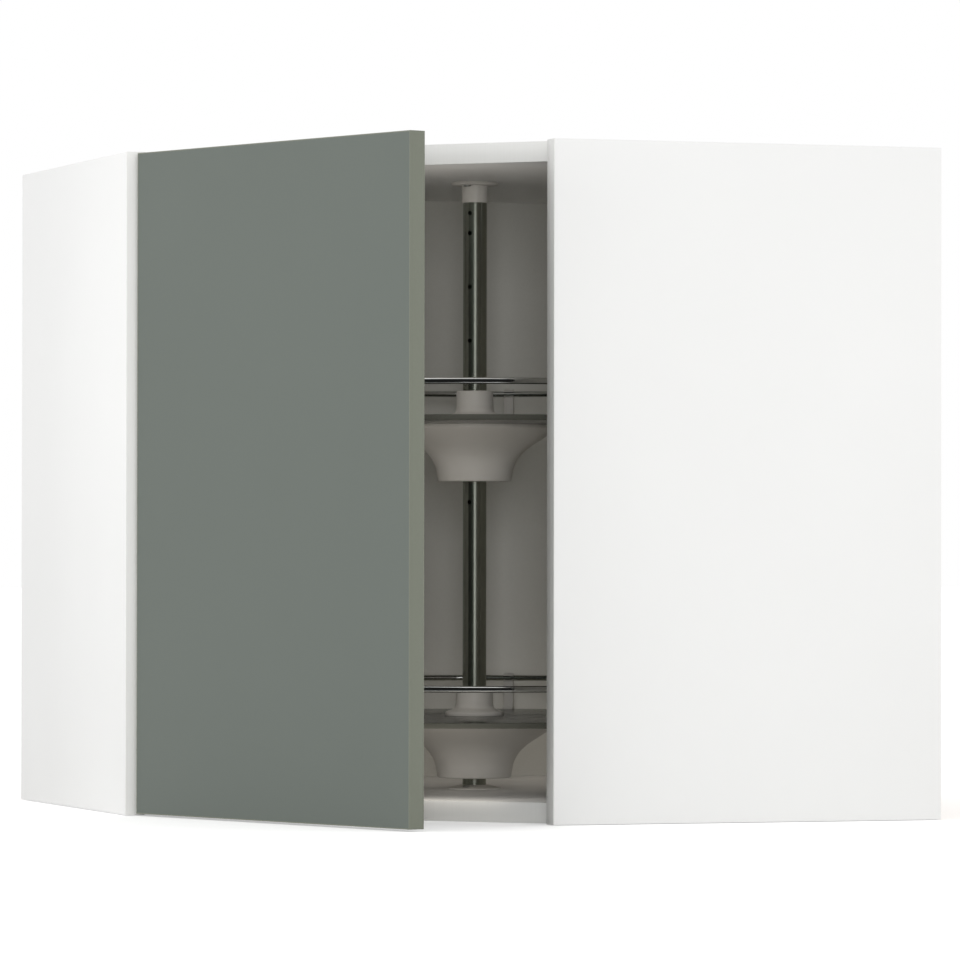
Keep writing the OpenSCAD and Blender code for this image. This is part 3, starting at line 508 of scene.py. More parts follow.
def set_screws(name, node, body, slot, material, diameter, length, seats):
    """Copies of one screw at the seats, each a point under the head and the shank's direction."""
    screw = shape_screw(length / diameter)
    copies = [copy_piece(screw, "set_screw", Matrix.Translation(point)
        @ Vector(way).to_track_quat("Z", "Y").to_matrix().to_4x4() @ Matrix.Scale(diameter, 4))
        for point, way in seats]
    bpy.data.objects.remove(screw)
    piece = join_pieces(name, copies)
    paint(piece, material)
    stand_for(piece, body, slot, node)


BRACKET_T = 2.5 * MM
BRACKET_SCREW_Y = -42.25 * MM
BRACKET_Z, BRACKET_SCREW_UP = 544, 64 / 3
bracket_seats = [((INNER_FACE + BRACKET_T, BRACKET_SCREW_Y,
    (BRACKET_Z + side * BRACKET_SCREW_UP) * MM), (-1, 0, 0)) for side in (-1, 1)]
bracket_seats += [((y, x, z), (0, -1, 0)) for (x, y, z), way in bracket_seats]
set_screws("bracket_screw_set", "bracket_screws", "cabinet", "zinc_steel", plated_steel, 4, 14,
    bracket_seats)

# ---- Hinges ----
# Two concealed cup hinges of nickel-plated pressed steel: a cross-shaped plate screwed to the
# left side panel, a folded arm clamped on it, a swan-neck link and a deep-drawn cup that is
# pressed into the back of the door.
# Nickel plate on pressed steel: a warm silver mirror, softened by fine draw marks 0.3 mm wide.
nickel, tree, shader, place = start_material("nickel_plated_steel", {"Metallic": 1.0})
draw = add_node(tree, "ShaderNodeMapping", {"Vector": place, "Scale": (1.0, 1.0, 0.1)})
marks = add_node(tree, "ShaderNodeTexNoise", {"Vector": draw.outputs["Vector"],
    "Scale": 1.0 / MM, "Detail": 2.0})
tone = add_node(tree, "ShaderNodeMix", {0: marks.outputs["Fac"], 6: linear("#c4c0b8"),
    7: linear("#d6d2ca")}, data_type="RGBA")
tree.links.new(tone.outputs[2], shader.inputs["Base Color"])
gloss = add_node(tree, "ShaderNodeMapRange", {"Value": marks.outputs["Fac"], "To Min": 0.18,
    "To Max": 0.32})
tree.links.new(gloss.outputs["Result"], shader.inputs["Roughness"])

HINGE_HEIGHTS = (95, 505)
ARM_PIN_Y = -346.787
ARM_LENGTH = 46
ARM_TOP = 9.6                      # from the side panel's face to the arm's outer face
ARM_SCREWS = (0.55, 0.85)          # places of its two screws as shares of its length
PLATE_T = 2
PLATE_SCREW_Y, PLATE_SCREW_UP = -331, 16
ease_node("hinge_plates", "hinge_mounting_plates", nickel, "cabinet", "hinge_steel", 0.5 * MM)
ease_node("hinge_arm_channels", "hinge_arms", nickel, "cabinet", "hinge_steel", 0.25 * MM)
ease_node("hinge_swan_necks", "hinge_links", nickel, "hinge_links", "hinge_steel", 0.4 * MM)
ease_node("hinge_cup_pressings", "hinge_cups", nickel, "door", "hinge_steel", 0.3 * MM)
finish_node(nickel, "hinge_arm_pins", "hinge_cup_pins")
set_screws("hinge_plate_screw_set", "hinge_plate_screws", "cabinet", "zinc_steel", plated_steel,
    4.8, 12, [((INNER_FACE + PLATE_T * MM, PLATE_SCREW_Y * MM,
        (z + side * PLATE_SCREW_UP) * MM), (-1, 0, 0))
        for z in HINGE_HEIGHTS for side in (-1, 1)])
set_screws("hinge_arm_screw_set", "hinge_arm_screws", "cabinet", "zinc_steel", plated_steel,
    5, 7.5, [((INNER_FACE + ARM_TOP * MM, (ARM_PIN_Y + share * ARM_LENGTH) * MM, z * MM),
        (-1, 0, 0)) for z in HINGE_HEIGHTS for share in ARM_SCREWS])

# ---- Door ----
# A 16 mm board faced on both sides with grey-green foil, banded all round in the same colour.
# It hangs on the two hinge cups, and two clear bumpers quieten it. It stands 25 degrees open.
# The door has no handle in the photograph.
DOOR_W = 396.037
DOOR_T = 16
DOOR_LOW, DOOR_HIGH = 1.5, 598.5
CUP_X = 22.5
CUP_R, CUP_DEEP = 17.5, 11.6
CUP_SCREW_X, CUP_SCREW_UP, CUP_FLANGE = 32, 22.5, 1.2
FRONT_MIDDLE = -519                # x and y of the middle between the side panels' front corners
DOOR_BEHIND = 12.5279              # the shut door's face lies this far behind that line
AXIS_SIDE, AXIS_BACK = 24, 9       # the hinge axis, from the door's edge and its face
DOOR_OPEN = 25
in_door = (Matrix.Translation((FRONT_MIDDLE * MM, FRONT_MIDDLE * MM, 0))
    @ Matrix.Rotation(math.radians(-45), 4, "Z")
    @ Matrix.Translation((-(DOOR_W / 2 + AXIS_SIDE) * MM, (DOOR_BEHIND + AXIS_BACK) * MM, 0))
    @ Matrix.Rotation(math.radians(-DOOR_OPEN), 4, "Z")
    @ Matrix.Translation((AXIS_SIDE * MM, -AXIS_BACK * MM, 0)))

# Grey-green foil: matt lacquered film pressed on the board. The eye sees an even, quiet
# grey-green with a soft sheen; the grain of the film is about 0.2 mm and is drawn 1.5 mm wide.
door_foil, tree, shader, place = start_material("grey_green_matt_foil", {"IOR": 1.48})
cloud = add_node(tree, "ShaderNodeTexNoise", {"Vector": place, "Scale": 5.0, "Detail": 4.0})
tone = add_node(tree, "ShaderNodeMix", {0: cloud.outputs["Fac"], 6: linear("#656c66"),
    7: linear("#616862")}, data_type="RGBA")
tree.links.new(tone.outputs[2], shader.inputs["Base Color"])
grain = add_node(tree, "ShaderNodeTexNoise", {"Vector": place, "Scale": 0.66 / MM,
    "Detail": 3.0})
gloss = add_node(tree, "ShaderNodeMapRange", {"Value": grain.outputs["Fac"], "To Min": 0.42,
    "To Max": 0.54})
tree.links.new(gloss.outputs["Result"], shader.inputs["Roughness"])
bump = add_node(tree, "ShaderNodeBump", {"Height": grain.outputs["Fac"], "Strength": 0.12,
    "Distance": 0.03 * MM})
tree.links.new(bump.outputs["Normal"], shader.inputs["Normal"])

# Grey-green ABS band: coloured through, so it is a touch warmer than the film, with fine
# scraper lines along the edge, drawn 1.5 mm apart.
door_band, tree, shader, place = start_material("grey_green_abs_band", {"IOR": 1.53})
lines = add_node(tree, "ShaderNodeTexNoise", {"Vector": place, "Scale": 0.66 / MM,
    "Detail": 2.0})
tone = add_node(tree, "ShaderNodeMix", {0: lines.outputs["Fac"], 6: linear("#767a6d"),
    7: linear("#717568")}, data_type="RGBA")
tree.links.new(tone.outputs[2], shader.inputs["Base Color"])
gloss = add_node(tree, "ShaderNodeMapRange", {"Value": lines.outputs["Fac"], "To Min": 0.34,
    "To Max": 0.46})
tree.links.new(gloss.outputs["Result"], shader.inputs["Roughness"])



def is_cup_bore(middle, normal):
    return (2 * MM < middle.x < 2 * CUP_X * MM and 1 * MM < middle.y < (DOOR_T - 0.8) * MM
        and 10 * MM < middle.z < 590 * MM)


def is_door_edge(middle, normal):
    return (middle.x < BAND_T or middle.x > DOOR_W * MM - BAND_T
        or middle.z < DOOR_LOW * MM + BAND_T or middle.z > DOOR_HIGH * MM - BAND_T)


door = add_board("door_slab", (0, 0, DOOR_LOW * MM), (DOOR_W * MM, DOOR_T * MM, DOOR_HIGH * MM))
for point, normal in (((BAND_T, 0, 0), (1, 0, 0)), ((DOOR_W * MM - BAND_T, 0, 0), (1, 0, 0)),
        ((0, 0, DOOR_LOW * MM + BAND_T), (0, 0, 1)), ((0, 0, DOOR_HIGH * MM - BAND_T),
        (0, 0, 1))):
    slice_at(door, point, normal)
cut(door, *[add_rod("bore", (CUP_X * MM, (DOOR_T + 1) * MM, z * MM),
    (CUP_X * MM, (DOOR_T - CUP_DEEP) * MM, z * MM), CUP_R * MM) for z in HINGE_HEIGHTS])
ease(door, 0.7 * MM, steps=3)
paint(door, door_foil)
paint(door, raw_board, is_cup_bore)
paint(door, door_band, is_door_edge)
door.data.transform(in_door)
stand_for(door, "door", "green_grey_laminate", "door_panel")

cup_seats = [(in_door @ Vector((CUP_SCREW_X * MM, (DOOR_T + CUP_FLANGE) * MM,
    (z + side * CUP_SCREW_UP) * MM)), in_door.to_3x3() @ Vector((0, -1, 0)))
    for z in HINGE_HEIGHTS for side in (-1, 1)]
set_screws("hinge_cup_screw_set", "hinge_cup_screws", "door", "zinc_steel", plated_steel,
    3.5, 12, cup_seats)

# Clear bumper: soft polyurethane dot, water clear and glossy.
clear_dot, tree, shader, place = start_material("clear_polyurethane",
    {"Transmission Weight": 0.85, "IOR": 1.5, "Base Color": linear("#eef0ec")})
ripple = add_node(tree, "ShaderNodeTexNoise", {"Vector": place, "Scale": 0.5 / MM})
gloss = add_node(tree, "ShaderNodeMapRange", {"Value": ripple.outputs["Fac"], "To Min": 0.05,
    "To Max": 0.15})
tree.links.new(gloss.outputs["Result"], shader.inputs["Roughness"])
ease_node("door_bumper_dots", "door_bumpers", clear_dot, "door", "clear_bumper", 0.4 * MM)

# ---- Pole ----
# A drawn steel tube of 22 mm, plated in dark chrome and polished, with a row of holes that
# face the door. Steel pins in two of them carry the shelves.
POLE_X = POLE_Y = -320
DOORWARD = Vector((-1, -1, 0)).normalized()
AT_POLE = Matrix.Translation((POLE_X * MM, POLE_Y * MM, 0))


def draw_outline(name, points):
    """A line through points (x, z) in millimetres: one vertex, extruded from point to point."""
    bpy.ops.object.select_all(action="DESELECT")
    bpy.ops.mesh.primitive_plane_add(size=MM)
    piece = bpy.context.object
    piece.name = piece.data.name = name
    bpy.ops.object.mode_set(mode="EDIT")
    bpy.ops.mesh.select_mode(type="VERT")
    bpy.ops.mesh.select_all(action="SELECT")
    bpy.ops.mesh.merge(type="CENTER")
    bpy.ops.transform.translate(value=(points[0][0] * MM, 0, points[0][1] * MM))
    for start, end in zip(points, points[1:]):
        bpy.ops.mesh.extrude_region_move(TRANSFORM_OT_translate={
            "value": ((end[0] - start[0]) * MM, 0, (end[1] - start[1]) * MM)})
    bpy.ops.object.mode_set(mode="OBJECT")
    return piece


def turn_on_lathe(name, points, steps=96):
    """A turned form: the outline of (radius, height) spun round the pole's axis.

    A hollow form's outline ends at the point where it starts.
    """
    piece = draw_outline(name, points)
    activate(piece)
    bpy.ops.object.mode_set(mode="EDIT")
    bpy.ops.mesh.select_all(action="SELECT")
    bpy.ops.mesh.spin(steps=steps, angle=2 * math.pi, center=(0, 0, 0), axis=(0, 0, 1))
    bpy.ops.mesh.select_all(action="SELECT")
    bpy.ops.mesh.remove_doubles(threshold=0.002 * MM)
    bpy.ops.mesh.normals_make_consistent(inside=False)
    bpy.ops.object.mode_set(mode="OBJECT")
    piece.data.transform(AT_POLE)
    return piece


# Dark chrome: black-nickel plate over a polished tube. The eye sees a deep grey-brown mirror
# with fine lines along the tube from the drawing die, drawn 1 mm apart.
dark_chrome, tree, shader, place = start_material("dark_chrome_plate", {"Metallic": 1.0})
long_way = add_node(tree, "ShaderNodeMapping", {"Vector": place, "Scale": (1.0, 1.0, 0.01)})
die_lines = add_node(tree, "ShaderNodeTexNoise", {"Vector": long_way.outputs["Vector"],
    "Scale": 1.0 / MM, "Detail": 2.0})
tone = add_node(tree, "ShaderNodeMix", {0: die_lines.outputs["Fac"], 6: linear("#9da096"),
    7: linear("#a7aaa0")}, data_type="RGBA")
tree.links.new(tone.outputs[2], shader.inputs["Base Color"])
gloss = add_node(tree, "ShaderNodeMapRange", {"Value": die_lines.outputs["Fac"],
    "To Min": 0.2, "To Max": 0.28})
tree.links.new(gloss.outputs["Result"], shader.inputs["Roughness"])

LOWER_PIN, UPPER_PIN = 59.5, 334.5
TOP_HOLE, FIRST_HOLE, HOLE_GAP = 553, 534.5, 50
HOLES = [LOWER_PIN, TOP_HOLE] + [FIRST_HOLE - HOLE_GAP * i for i in range(6)]
PIN_HOLE_R, FREE_HOLE_R = 2.6, 2
pole = turn_on_lathe("pole_tube", [(9.5, 20), (11, 20), (11, 579), (9.5, 579), (9.5, 20)])
middle = AT_POLE.translation
for z in HOLES:
    reach = 14 * MM * DOORWARD
    height = Vector((0, 0, z * MM))
    cut(pole, add_rod("drill", middle + height - reach, middle + height + reach,
        (PIN_HOLE_R if z in (LOWER_PIN, UPPER_PIN) else FREE_HOLE_R) * MM, 32))
ease(pole, 0.15 * MM, steps=1, angle=50, smooth=30)
paint(pole, dark_chrome)
stand_for(pole, "cabinet", "dark_chrome", "pole")
ease_node("shelf_carrying_pins", "shelf_pins", plated_steel, "cabinet", "zinc_steel", 0.5 * MM)

# ---- Pole sockets ----
# A cap and a dish moulded in pale ABS, screwed to the top and the bottom panel; the pole
# stands in them. The cap has a sleeve, and the dish slopes up to the pole.
# Moulded ABS: warm light grey, satin, with the faint spark-eroded grain of the mould, which is
# about 0.3 mm and is drawn 1.5 mm wide.
pale_abs, tree, shader, place = start_material("moulded_pale_abs", {"IOR": 1.53})
cloud = add_node(tree, "ShaderNodeTexNoise", {"Vector": place, "Scale": 30.0, "Detail": 3.0})
tone = add_node(tree, "ShaderNodeMix", {0: cloud.outputs["Fac"], 6: linear("#dbd9d5"),
    7: linear("#d4d2cd")}, data_type="RGBA")
tree.links.new(tone.outputs[2], shader.inputs["Base Color"])
spark = add_node(tree, "ShaderNodeTexNoise", {"Vector": place, "Scale": 0.66 / MM,
    "Detail": 2.0})
gloss = add_node(tree, "ShaderNodeMapRange", {"Value": spark.outputs["Fac"], "To Min": 0.36,
    "To Max": 0.48})
tree.links.new(gloss.outputs["Result"], shader.inputs["Roughness"])
bump = add_node(tree, "ShaderNodeBump", {"Height": spark.outputs["Fac"], "Strength": 0.15,
    "Distance": 0.05 * MM})
tree.links.new(bump.outputs["Normal"], shader.inputs["Normal"])

SOCKET_SCREW_R = 17 * MM
SCREW_HOLE_R, SCREW_SINK_R = 1.85, 3.6
screw_places = [middle + side * SOCKET_SCREW_R * DOORWARD for side in (-1, 1)]
cap = turn_on_lathe("pole_cap", [(0, 582), (21.2, 582), (21.2, 581.2), (22.5, 581.2),
    (21, 579), (12.3, 579), (12.3, 563), (11.1, 563), (11.1, 579.1), (0, 579.1)])
cut(cap, *[add_rod("drill", place + Vector((0, 0, 570 * MM)), place + Vector((0, 0, 590 * MM)),
    SCREW_HOLE_R * MM, 24) for place in screw_places])
ease(cap, 0.4 * MM, steps=3)
paint(cap, pale_abs)
stand_for(cap, "cabinet", "pale_plastic", "pole_top_socket")
dish = turn_on_lathe("pole_dish", [(0, 18), (25, 18), (25, 19), (13.3, 22), (11.1, 22),
    (11.1, 19.9), (0, 19.9)])
for radius, foot in ((SCREW_HOLE_R, 10), (SCREW_SINK_R, 20)):
    cut(dish, *[add_rod("drill", place + Vector((0, 0, foot * MM)),
        place + Vector((0, 0, 30 * MM)), radius * MM, 24) for place in screw_places])
ease(dish, 0.3 * MM, steps=3)
paint(dish, pale_abs)
stand_for(dish, "cabinet", "pale_plastic", "pole_base_socket")
set_screws("socket_screw_set", "pole_socket_screws", "cabinet", "zinc_steel", plated_steel,
    3.5, 14, [(place + Vector((0, 0, z * MM)), (0, 0, way)) for place in screw_places
        for z, way in ((579, 1), (20, -1))])

# ---- Carousel shelves ----
# Round shelves of 5 mm tempered glass, tinted grey, with a ground edge. They turn on the pole
# one above the other. Everything below rides on one of the two carousels.
# Tinted glass: a dark grey face with a soft, wide sheen that mirrors what it sees at a flat
# angle, and clouds of wiped dust 40 mm wide.
grey_glass, tree, shader, place = start_material("grey_tinted_glass",
    {"Transmission Weight": 1.0, "IOR": 1.52})
smear = add_node(tree, "ShaderNodeTexNoise", {"Vector": place, "Scale": 25.0, "Detail": 3.0})
gloss = add_node(tree, "ShaderNodeMapRange", {"Value": smear.outputs["Fac"], "To Min": 0.2,
    "To Max": 0.28})
tree.links.new(gloss.outputs["Result"], shader.inputs["Roughness"])
tone = add_node(tree, "ShaderNodeMix", {0: smear.outputs["Fac"], 6: linear("#8c8d86"),
    7: linear("#868780")}, data_type="RGBA")
tree.links.new(tone.outputs[2], shader.inputs["Base Color"])

# Ground glass edge: sanded, not polished, so it holds a dull grey instead of the black of a
# clear tinted edge. The grinder's marks are 0.4 mm wide and are drawn 1.5 mm wide.
ground_edge, tree, shader, place = start_material("ground_glass_edge", {"IOR": 1.52})
marks = add_node(tree, "ShaderNodeTexNoise", {"Vector": place, "Scale": 0.66 / MM,
    "Detail": 2.0})
tone = add_node(tree, "ShaderNodeMix", {0: marks.outputs["Fac"], 6: linear("#585951"),
    7: linear("#50514a")}, data_type="RGBA")
tree.links.new(tone.outputs[2], shader.inputs["Base Color"])
gloss = add_node(tree, "ShaderNodeMapRange", {"Value": marks.outputs["Fac"], "To Min": 0.4,
    "To Max": 0.55})
tree.links.new(gloss.outputs["Result"], shader.inputs["Roughness"])

# Bright chrome: nickel and chrome plate on polished steel rod; a near mirror.
chrome, tree, shader, place = start_material("bright_chrome_plate", {"Metallic": 1.0})
haze = add_node(tree, "ShaderNodeTexNoise", {"Vector": place, "Scale": 60.0, "Detail": 2.0})
gloss = add_node(tree, "ShaderNodeMapRange", {"Value": haze.outputs["Fac"], "To Min": 0.05,
    "To Max": 0.1})
tree.links.new(gloss.outputs["Result"], shader.inputs["Roughness"])
tone = add_node(tree, "ShaderNodeMix", {0: haze.outputs["Fac"], 6: linear("#cfd0ce"),
    7: linear("#dcdddb")}, data_type="RGBA")
tree.links.new(tone.outputs[2], shader.inputs["Base Color"])

# Acetal: slippery milky-white bearing plastic, a little see-through at thin rims.
acetal, tree, shader, place = start_material("milky_acetal", {"IOR": 1.48,
    "Subsurface Weight": 0.15, "Subsurface Scale": 2 * MM})
cloud = add_node(tree, "ShaderNodeTexNoise", {"Vector": place, "Scale": 90.0})
tone = add_node(tree, "ShaderNodeMix", {0: cloud.outputs["Fac"], 6: linear("#eceae4"),
    7: linear("#e4e1da")}, data_type="RGBA")
tree.links.new(tone.outputs[2], shader.inputs["Base Color"])
gloss = add_node(tree, "ShaderNodeMapRange", {"Value": cloud.outputs["Fac"], "To Min": 0.3,
    "To Max": 0.4})
tree.links.new(gloss.outputs["Result"], shader.inputs["Roughness"])


def curve_points(p, steps):
    """Points on a smooth curve between p[0] and p[3], bent by p[1] and p[2]."""
    for i in range(steps + 1):
        t = i / steps
        yield tuple((1 - t) ** 3 * a + 3 * t * (1 - t) ** 2 * b + 3 * t * t * (1 - t) * c
            + t ** 3 * d for a, b, c, d in zip(*p))


SHELF_R, SHELF_T, SHELF_BORE = 246, 5, 22
shelf = turn_on_lathe("shelf_disc", [(SHELF_BORE, 0), (SHELF_R, 0), (SHELF_R, -SHELF_T),
    (SHELF_BORE, -SHELF_T), (SHELF_BORE, 0)], steps=180)
ease(shelf, 1.2 * MM, steps=4, smooth=40)
paint(shelf, grey_glass)
paint(shelf, ground_edge, lambda face_middle, normal: abs(normal.z) < 0.95
    and (face_middle - middle).to_2d().length > (SHELF_R - 2) * MM)

# The cone under the shelf and the hub above it are moulded in pale ABS, and four screws from
# below clamp the glass between them. Eight thin ribs stiffen the cone inside.
TRUMPET = ((76, -3), (60, -17.85), (42, -19.95), (36, -40.95))
skin = list(curve_points(TRUMPET, 24))
inner = [(x - 2.25, z + 2.25) for x, z in skin if z + 2.25 < -3]
cone_outline = [(12.6, 5), (21.9, 5), (21.9, 0), (76, 0)] + skin + [(34.4, -50.5), (33.8, -51.9),
    (32.4, -52.5), (31.5, -52.5), (31.5, -50.5)] + inner[::-1] + [(inner[0][0], -3), (14.25, -3),
    (14.25, -14.95), (12.6, -14.95), (12.6, 5)]
cone = turn_on_lathe("cone_shell", cone_outline, steps=144)
RIB_FOOT, RIB_T, RIBS = -37.8, 1.8, 8
rib_line = [(x + 0.6, z) for x, z in inner if z > RIB_FOOT]
rib = draw_outline("cone_rib", [(14, -3)] + rib_line + [(rib_line[-1][0], RIB_FOOT),
    (22, RIB_FOOT), (22, -14.9), (14, -14.9)])
activate(rib)
bpy.ops.object.mode_set(mode="EDIT")
bpy.ops.mesh.select_all(action="SELECT")
bpy.ops.mesh.edge_face_add()
bpy.ops.transform.translate(value=(0, -RIB_T / 2 * MM, 0))
bpy.ops.mesh.extrude_region_move(TRANSFORM_OT_translate={"value": (0, RIB_T * MM, 0)})
bpy.ops.mesh.select_all(action="SELECT")
bpy.ops.mesh.normals_make_consistent(inside=False)
bpy.ops.object.mode_set(mode="OBJECT")
ribs = [copy_piece(rib, "cone_rib_copy", AT_POLE
    @ Matrix.Rotation(math.radians(360 / RIBS * i), 4, "Z")) for i in range(RIBS)]
bpy.data.objects.remove(rib)
ease(cone, 0.35 * MM, steps=2, angle=35, smooth=35)
cone = join_pieces("cone_moulding", [cone] + ribs)
paint(cone, pale_abs)

hub = turn_on_lathe("hub_moulding", [(12.6, 0), (27.25, 0), (27.25, 3.2), (26.5, 4),
    (20.2, 6.2), (18.6, 7.3), (17.8, 8.8), (17.5, 10.5), (17, 25.4), (16.6, 26.5), (15.5, 27),
    (11.3, 27), (11.3, 23.1), (12.6, 23.1), (12.6, 0)])
ease(hub, 0.4 * MM, steps=2, angle=35, smooth=35)
paint(hub, pale_abs)

# The rail is a ring of 6 mm chromed rod, bent round and butt welded, and five moulded posts
# clip on the glass and snap round the rod.
RAIL_R, RAIL_UP, ROD_R = 241, 30, 3
rail = turn_on_lathe("rail_ring", [(RAIL_R + ROD_R * math.cos(math.radians(15 * i)),
    RAIL_UP + ROD_R * math.sin(math.radians(15 * i))) for i in range(25)], steps=192)
POSTS, POST_TURN = 5, 63
WELD_TURN, WELD_R, WELD_SWELL = 99, 4.5, 0.06
weld = middle + Matrix.Rotation(math.radians(WELD_TURN), 3, "Z") @ Vector((RAIL_R * MM, 0,
    RAIL_UP * MM))
activate(rail)
for vertex in rail.data.vertices:
    if (vertex.co - weld).length < WELD_R * MM:
        outward = Vector((vertex.co.x - middle.x, vertex.co.y - middle.y, 0)).normalized()
        core = middle + outward * RAIL_R * MM + Vector((0, 0, RAIL_UP * MM))
        vertex.co += (vertex.co - core) * WELD_SWELL
bpy.ops.object.shade_smooth()
paint(rail, chrome)

EYE_R, EYE_HOLE_R = 4.6, 3.1
MOUTH_H = 4.4                      # the opening towards the pole, where the rod snaps in
THROUGH = 20                       # how far the cutting tools reach past the clip
eye = [(RAIL_R + EYE_R * math.cos(math.radians(a)), RAIL_UP + EYE_R * math.sin(math.radians(a)))
    for a in range(-48, 229, 12)]
post_outline = [(232, -7.4), (248.4, -7.4), (248.4, 2.4), (244, 2.4)] + eye + [(238, 2.4),
    (232, 2.4), (232, 0.1), (246.1, 0.1), (246.1, -5.1), (232, -5.1)]
POST_W = 9.5
clip = draw_outline("rail_clip", post_outline)
activate(clip)
bpy.ops.object.mode_set(mode="EDIT")
bpy.ops.mesh.select_all(action="SELECT")
bpy.ops.mesh.edge_face_add()
bpy.ops.transform.translate(value=(0, -POST_W / 2 * MM, 0))
bpy.ops.mesh.extrude_region_move(TRANSFORM_OT_translate={"value": (0, POST_W * MM, 0)})
bpy.ops.mesh.select_all(action="SELECT")
bpy.ops.mesh.normals_make_consistent(inside=False)
bpy.ops.object.mode_set(mode="OBJECT")
cut(clip, add_rod("drill", (RAIL_R * MM, -THROUGH * MM, RAIL_UP * MM),
    (RAIL_R * MM, THROUGH * MM, RAIL_UP * MM), EYE_HOLE_R * MM, 32),
    add_board("mouth", ((RAIL_R - 8) * MM, -THROUGH * MM, (RAIL_UP - MOUTH_H / 2) * MM),
    (RAIL_R * MM, THROUGH * MM, (RAIL_UP + MOUTH_H / 2) * MM)))
ease(clip, 0.6 * MM, steps=2, angle=35, smooth=35)
posts = join_pieces("rail_clip_set", [copy_piece(clip, "rail_clip_copy", AT_POLE
    @ Matrix.Rotation(math.radians(POST_TURN + 360 / POSTS * i), 4, "Z"))
    for i in range(POSTS)])
bpy.data.objects.remove(clip)
paint(posts, pale_abs)

HUB_SCREW_R, HUB_SCREW_TURN, HUB_SCREW_IN = 18, 22.5, 8
for level, height, body in (("lower", 86, "lower_carousel"), ("upper", 361, "upper_carousel")):
    up = Matrix.Translation((0, 0, height * MM))
    under = Matrix.Translation((0, 0, (height - SHELF_T) * MM))
    for piece, place, slot, node in ((shelf, up, "smoked_shelf", "shelf"),
            (cone, under, "pale_plastic", "cone"), (hub, up, "pale_plastic", "hub"),
            (rail, up, "chrome", "rail"), (posts, up, "pale_plastic", "rail_posts")):
        stand_for(copy_piece(piece, level + "_" + piece.name, place), body, slot,
            level + "_" + node)
    ease_node(level + "_bearing_bush", level + "_bush", acetal, body, "white_nylon", 0.3 * MM)
    set_screws(level + "_hub_screw_set", level + "_hub_screws", body, "zinc_steel",
        plated_steel, 3, 13, [(middle
            + Matrix.Rotation(math.radians(HUB_SCREW_TURN + 90 * i), 3, "Z")
            @ Vector((HUB_SCREW_R * MM, 0, (height - HUB_SCREW_IN) * MM)), (0, 0, 1))
            for i in range(4)])
for piece in (shelf, cone, hub, rail, posts):
    bpy.data.objects.remove(piece)
ease_node("thrust_washers", "thrust_rings", acetal, "cabinet", "white_nylon", 0.3 * MM)

# ---- Floor, light and camera ----
# A plain pale floor under the cabinet, soft studio light, and the camera of the photograph.
floor_paint, tree, shader, place = start_material("pale_studio_floor", {"Roughness": 0.9,
    "Base Color": linear("#f5f5f4")})
ray = add_node(tree, "ShaderNodeLightPath")
lift = add_node(tree, "ShaderNodeEmission", {"Color": (1, 1, 1, 1), "Strength": 0.4})
black = add_node(tree, "ShaderNodeEmission", {"Color": (0, 0, 0, 1), "Strength": 0.0})
seen = add_node(tree, "ShaderNodeMixShader", {0: ray.outputs["Is Camera Ray"],
    1: black.outputs["Emission"], 2: lift.outputs["Emission"]})
both = add_node(tree, "ShaderNodeAddShader", {0: shader.outputs["BSDF"],
    1: seen.outputs["Shader"]})
tree.links.new(both.outputs["Shader"], tree.nodes["Material Output"].inputs["Surface"])
bpy.ops.object.select_all(action="DESELECT")
bpy.ops.mesh.primitive_plane_add(size=60, location=(0, 0, -0.5 * MM))
floor = bpy.context.object
floor.name = "studio_floor"
floor.data.materials.append(floor_paint)

world = bpy.data.worlds.new("studio_air")
bpy.context.scene.world = world
world.use_nodes = True
tree = world.node_tree
ray = add_node(tree, "ShaderNodeLightPath")
straight = add_node(tree, "ShaderNodeMath", {0: ray.outputs["Is Camera Ray"],
    1: ray.outputs["Is Glossy Ray"]}, operation="MAXIMUM")
shown = add_node(tree, "ShaderNodeMath", {0: straight.outputs["Value"],
    1: ray.outputs["Is Transmission Ray"]}, operation="MAXIMUM")
AIR = 0.78
strength = add_node(tree, "ShaderNodeMapRange", {"Value": shown.outputs["Value"],
    "To Min": AIR, "To Max": 1.0})
tree.links.new(strength.outputs["Result"], tree.nodes["Background"].inputs["Strength"])
tree.nodes["Background"].inputs["Color"].default_value = (1, 1, 1, 1)


def hang_lamp(name, place, aim, width, height, power, colour="#ffffff"):
    """A softbox at a place, turned to a point. Metal and glass mirror the white air instead."""
    data = bpy.data.lights.new(name, "AREA")
    data.shape = "RECTANGLE"
    data.size = width
    data.size_y = height
    data.energy = power
    data.color = linear(colour)[:3]
    lamp = bpy.data.objects.new(name, data)
    bpy.context.collection.objects.link(lamp)
    lamp.visible_camera = lamp.visible_glossy = lamp.visible_transmission = False
    lamp.location = place
    lamp.rotation_euler = (Vector(aim) - Vector(place)).to_track_quat("-Z", "Y").to_euler()


# The renderer stops after four bounces, and much of the light inside the white cabinet has
# bounced more often. Three weak lamps in the opening and one under the lower shelf stand for it.
WARM = "#fff6ea"
hang_lamp("front_softbox", (-2.4, -6.4, 0.75), (-0.4, -0.45, 0.3), 0.7, 1.4, 48)
hang_lamp("left_softbox", (-4.6, -1.6, 0.9), (-0.5, -0.2, 0.3), 1.6, 1.6, 44)
hang_lamp("right_softbox", (2.4, -2.6, 0.9), (-0.1, -0.6, 0.3), 1.6, 1.6, 15)
for name, height, tall, power in (("low", 0.052, 0.05, 0.07), ("middle", 0.22, 0.22, 0.13),
        ("top", 0.47, 0.18, 0.11)):
    hang_lamp("shelf_light_" + name, (-0.505, -0.505, height), (-0.2, -0.2, height), 0.3, tall,
        power, WARM)
hang_lamp("bottom_light", (-0.22, -0.22, 0.077), (-0.22, -0.22, 0), 0.36, 0.36, 0.075, WARM)
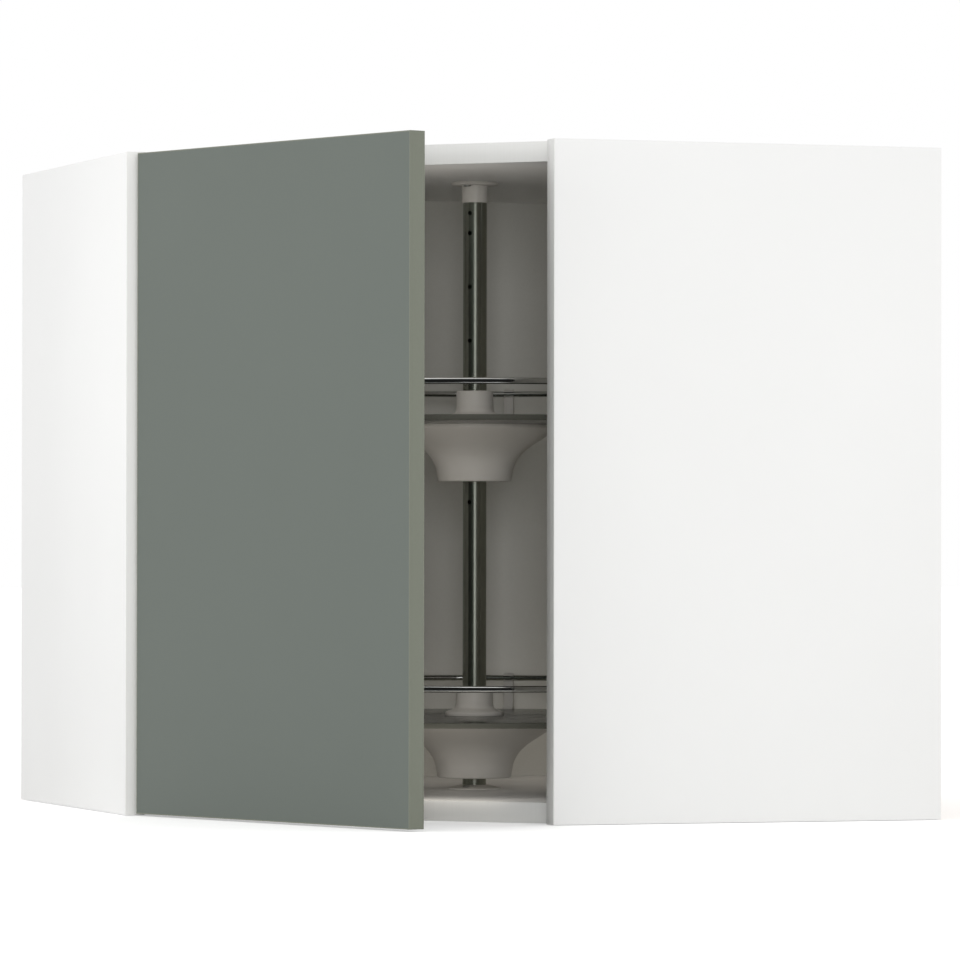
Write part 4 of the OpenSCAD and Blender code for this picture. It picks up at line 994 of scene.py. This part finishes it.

# A black card that paints a dark reflection into the near rails, which are straight in the
# photograph and seem to mirror the dark back of the door. Round rails mirror the white air there,
# so this painted reflection is needed to look like them. Mirrors further off, such as the pole,
# look through it, and nothing else sees it.
CARD_SEEN = 0.25
CARD_AWAY, CARD_TURN, CARD_W = 0.371, math.radians(20.3), 0.19
painted_reflection_paint, tree, shader, place = start_material("painted_reflection_card", {"Roughness": 1.0})
ray = add_node(tree, "ShaderNodeLightPath")
near = add_node(tree, "ShaderNodeMath", {0: ray.outputs["Ray Length"], 1: CARD_SEEN},
    operation="LESS_THAN")
clear = add_node(tree, "ShaderNodeBsdfTransparent")
# A dim grey glow for glossy rays shorter than CARD_SEEN: a painted dark reflection, not a lamp.
painted_reflection_glow = add_node(tree, "ShaderNodeEmission", {"Color": linear("#202020"), "Strength": 1.0})
either = add_node(tree, "ShaderNodeMixShader", {0: near.outputs["Value"],
    1: clear.outputs["BSDF"], 2: painted_reflection_glow.outputs["Emission"]})
tree.links.new(either.outputs["Shader"], tree.nodes["Material Output"].inputs["Surface"])
facing = Vector((-math.sin(CARD_TURN), -math.cos(CARD_TURN), 0))
bpy.ops.object.select_all(action="DESELECT")
bpy.ops.mesh.primitive_plane_add(size=1, rotation=facing.to_track_quat("Z", "Y").to_euler(),
    location=middle + CARD_AWAY * facing + Vector((0, 0, CABINET_H / 2)))
reflection_card = bpy.context.object
reflection_card.name = "painted_reflection_card"
reflection_card.scale = (CARD_W, CABINET_H, 1)
reflection_card.data.materials.append(painted_reflection_paint)
reflection_card.visible_camera = reflection_card.visible_diffuse = reflection_card.visible_transmission = False
reflection_card.visible_shadow = False

CAMERA_AT = (-2.16557, -5.65343, 0.240797)
YAW, PITCH, ROLL = 0.334021625, 0.0113971849, 0.00134789052
look = Vector((math.sin(YAW) * math.cos(PITCH), math.cos(YAW) * math.cos(PITCH),
    math.sin(PITCH)))
level_right = Vector((math.cos(YAW), -math.sin(YAW), 0))
level_up = level_right.cross(look)
right = math.cos(ROLL) * level_right + math.sin(ROLL) * level_up
up = math.cos(ROLL) * level_up - math.sin(ROLL) * level_right
camera = bpy.data.objects.new("photo_camera", bpy.data.cameras.new("photo_camera"))
bpy.context.collection.objects.link(camera)
camera.matrix_world = Matrix.Translation(CAMERA_AT) @ Matrix(
    (right, up, -look)).transposed().to_4x4()
camera.data.sensor_width = 36
camera.data.lens = 227.5
camera.data.clip_start = 0.1
camera.data.clip_end = 200
bpy.context.scene.camera = camera
bpy.context.scene.view_settings.view_transform = "Standard"
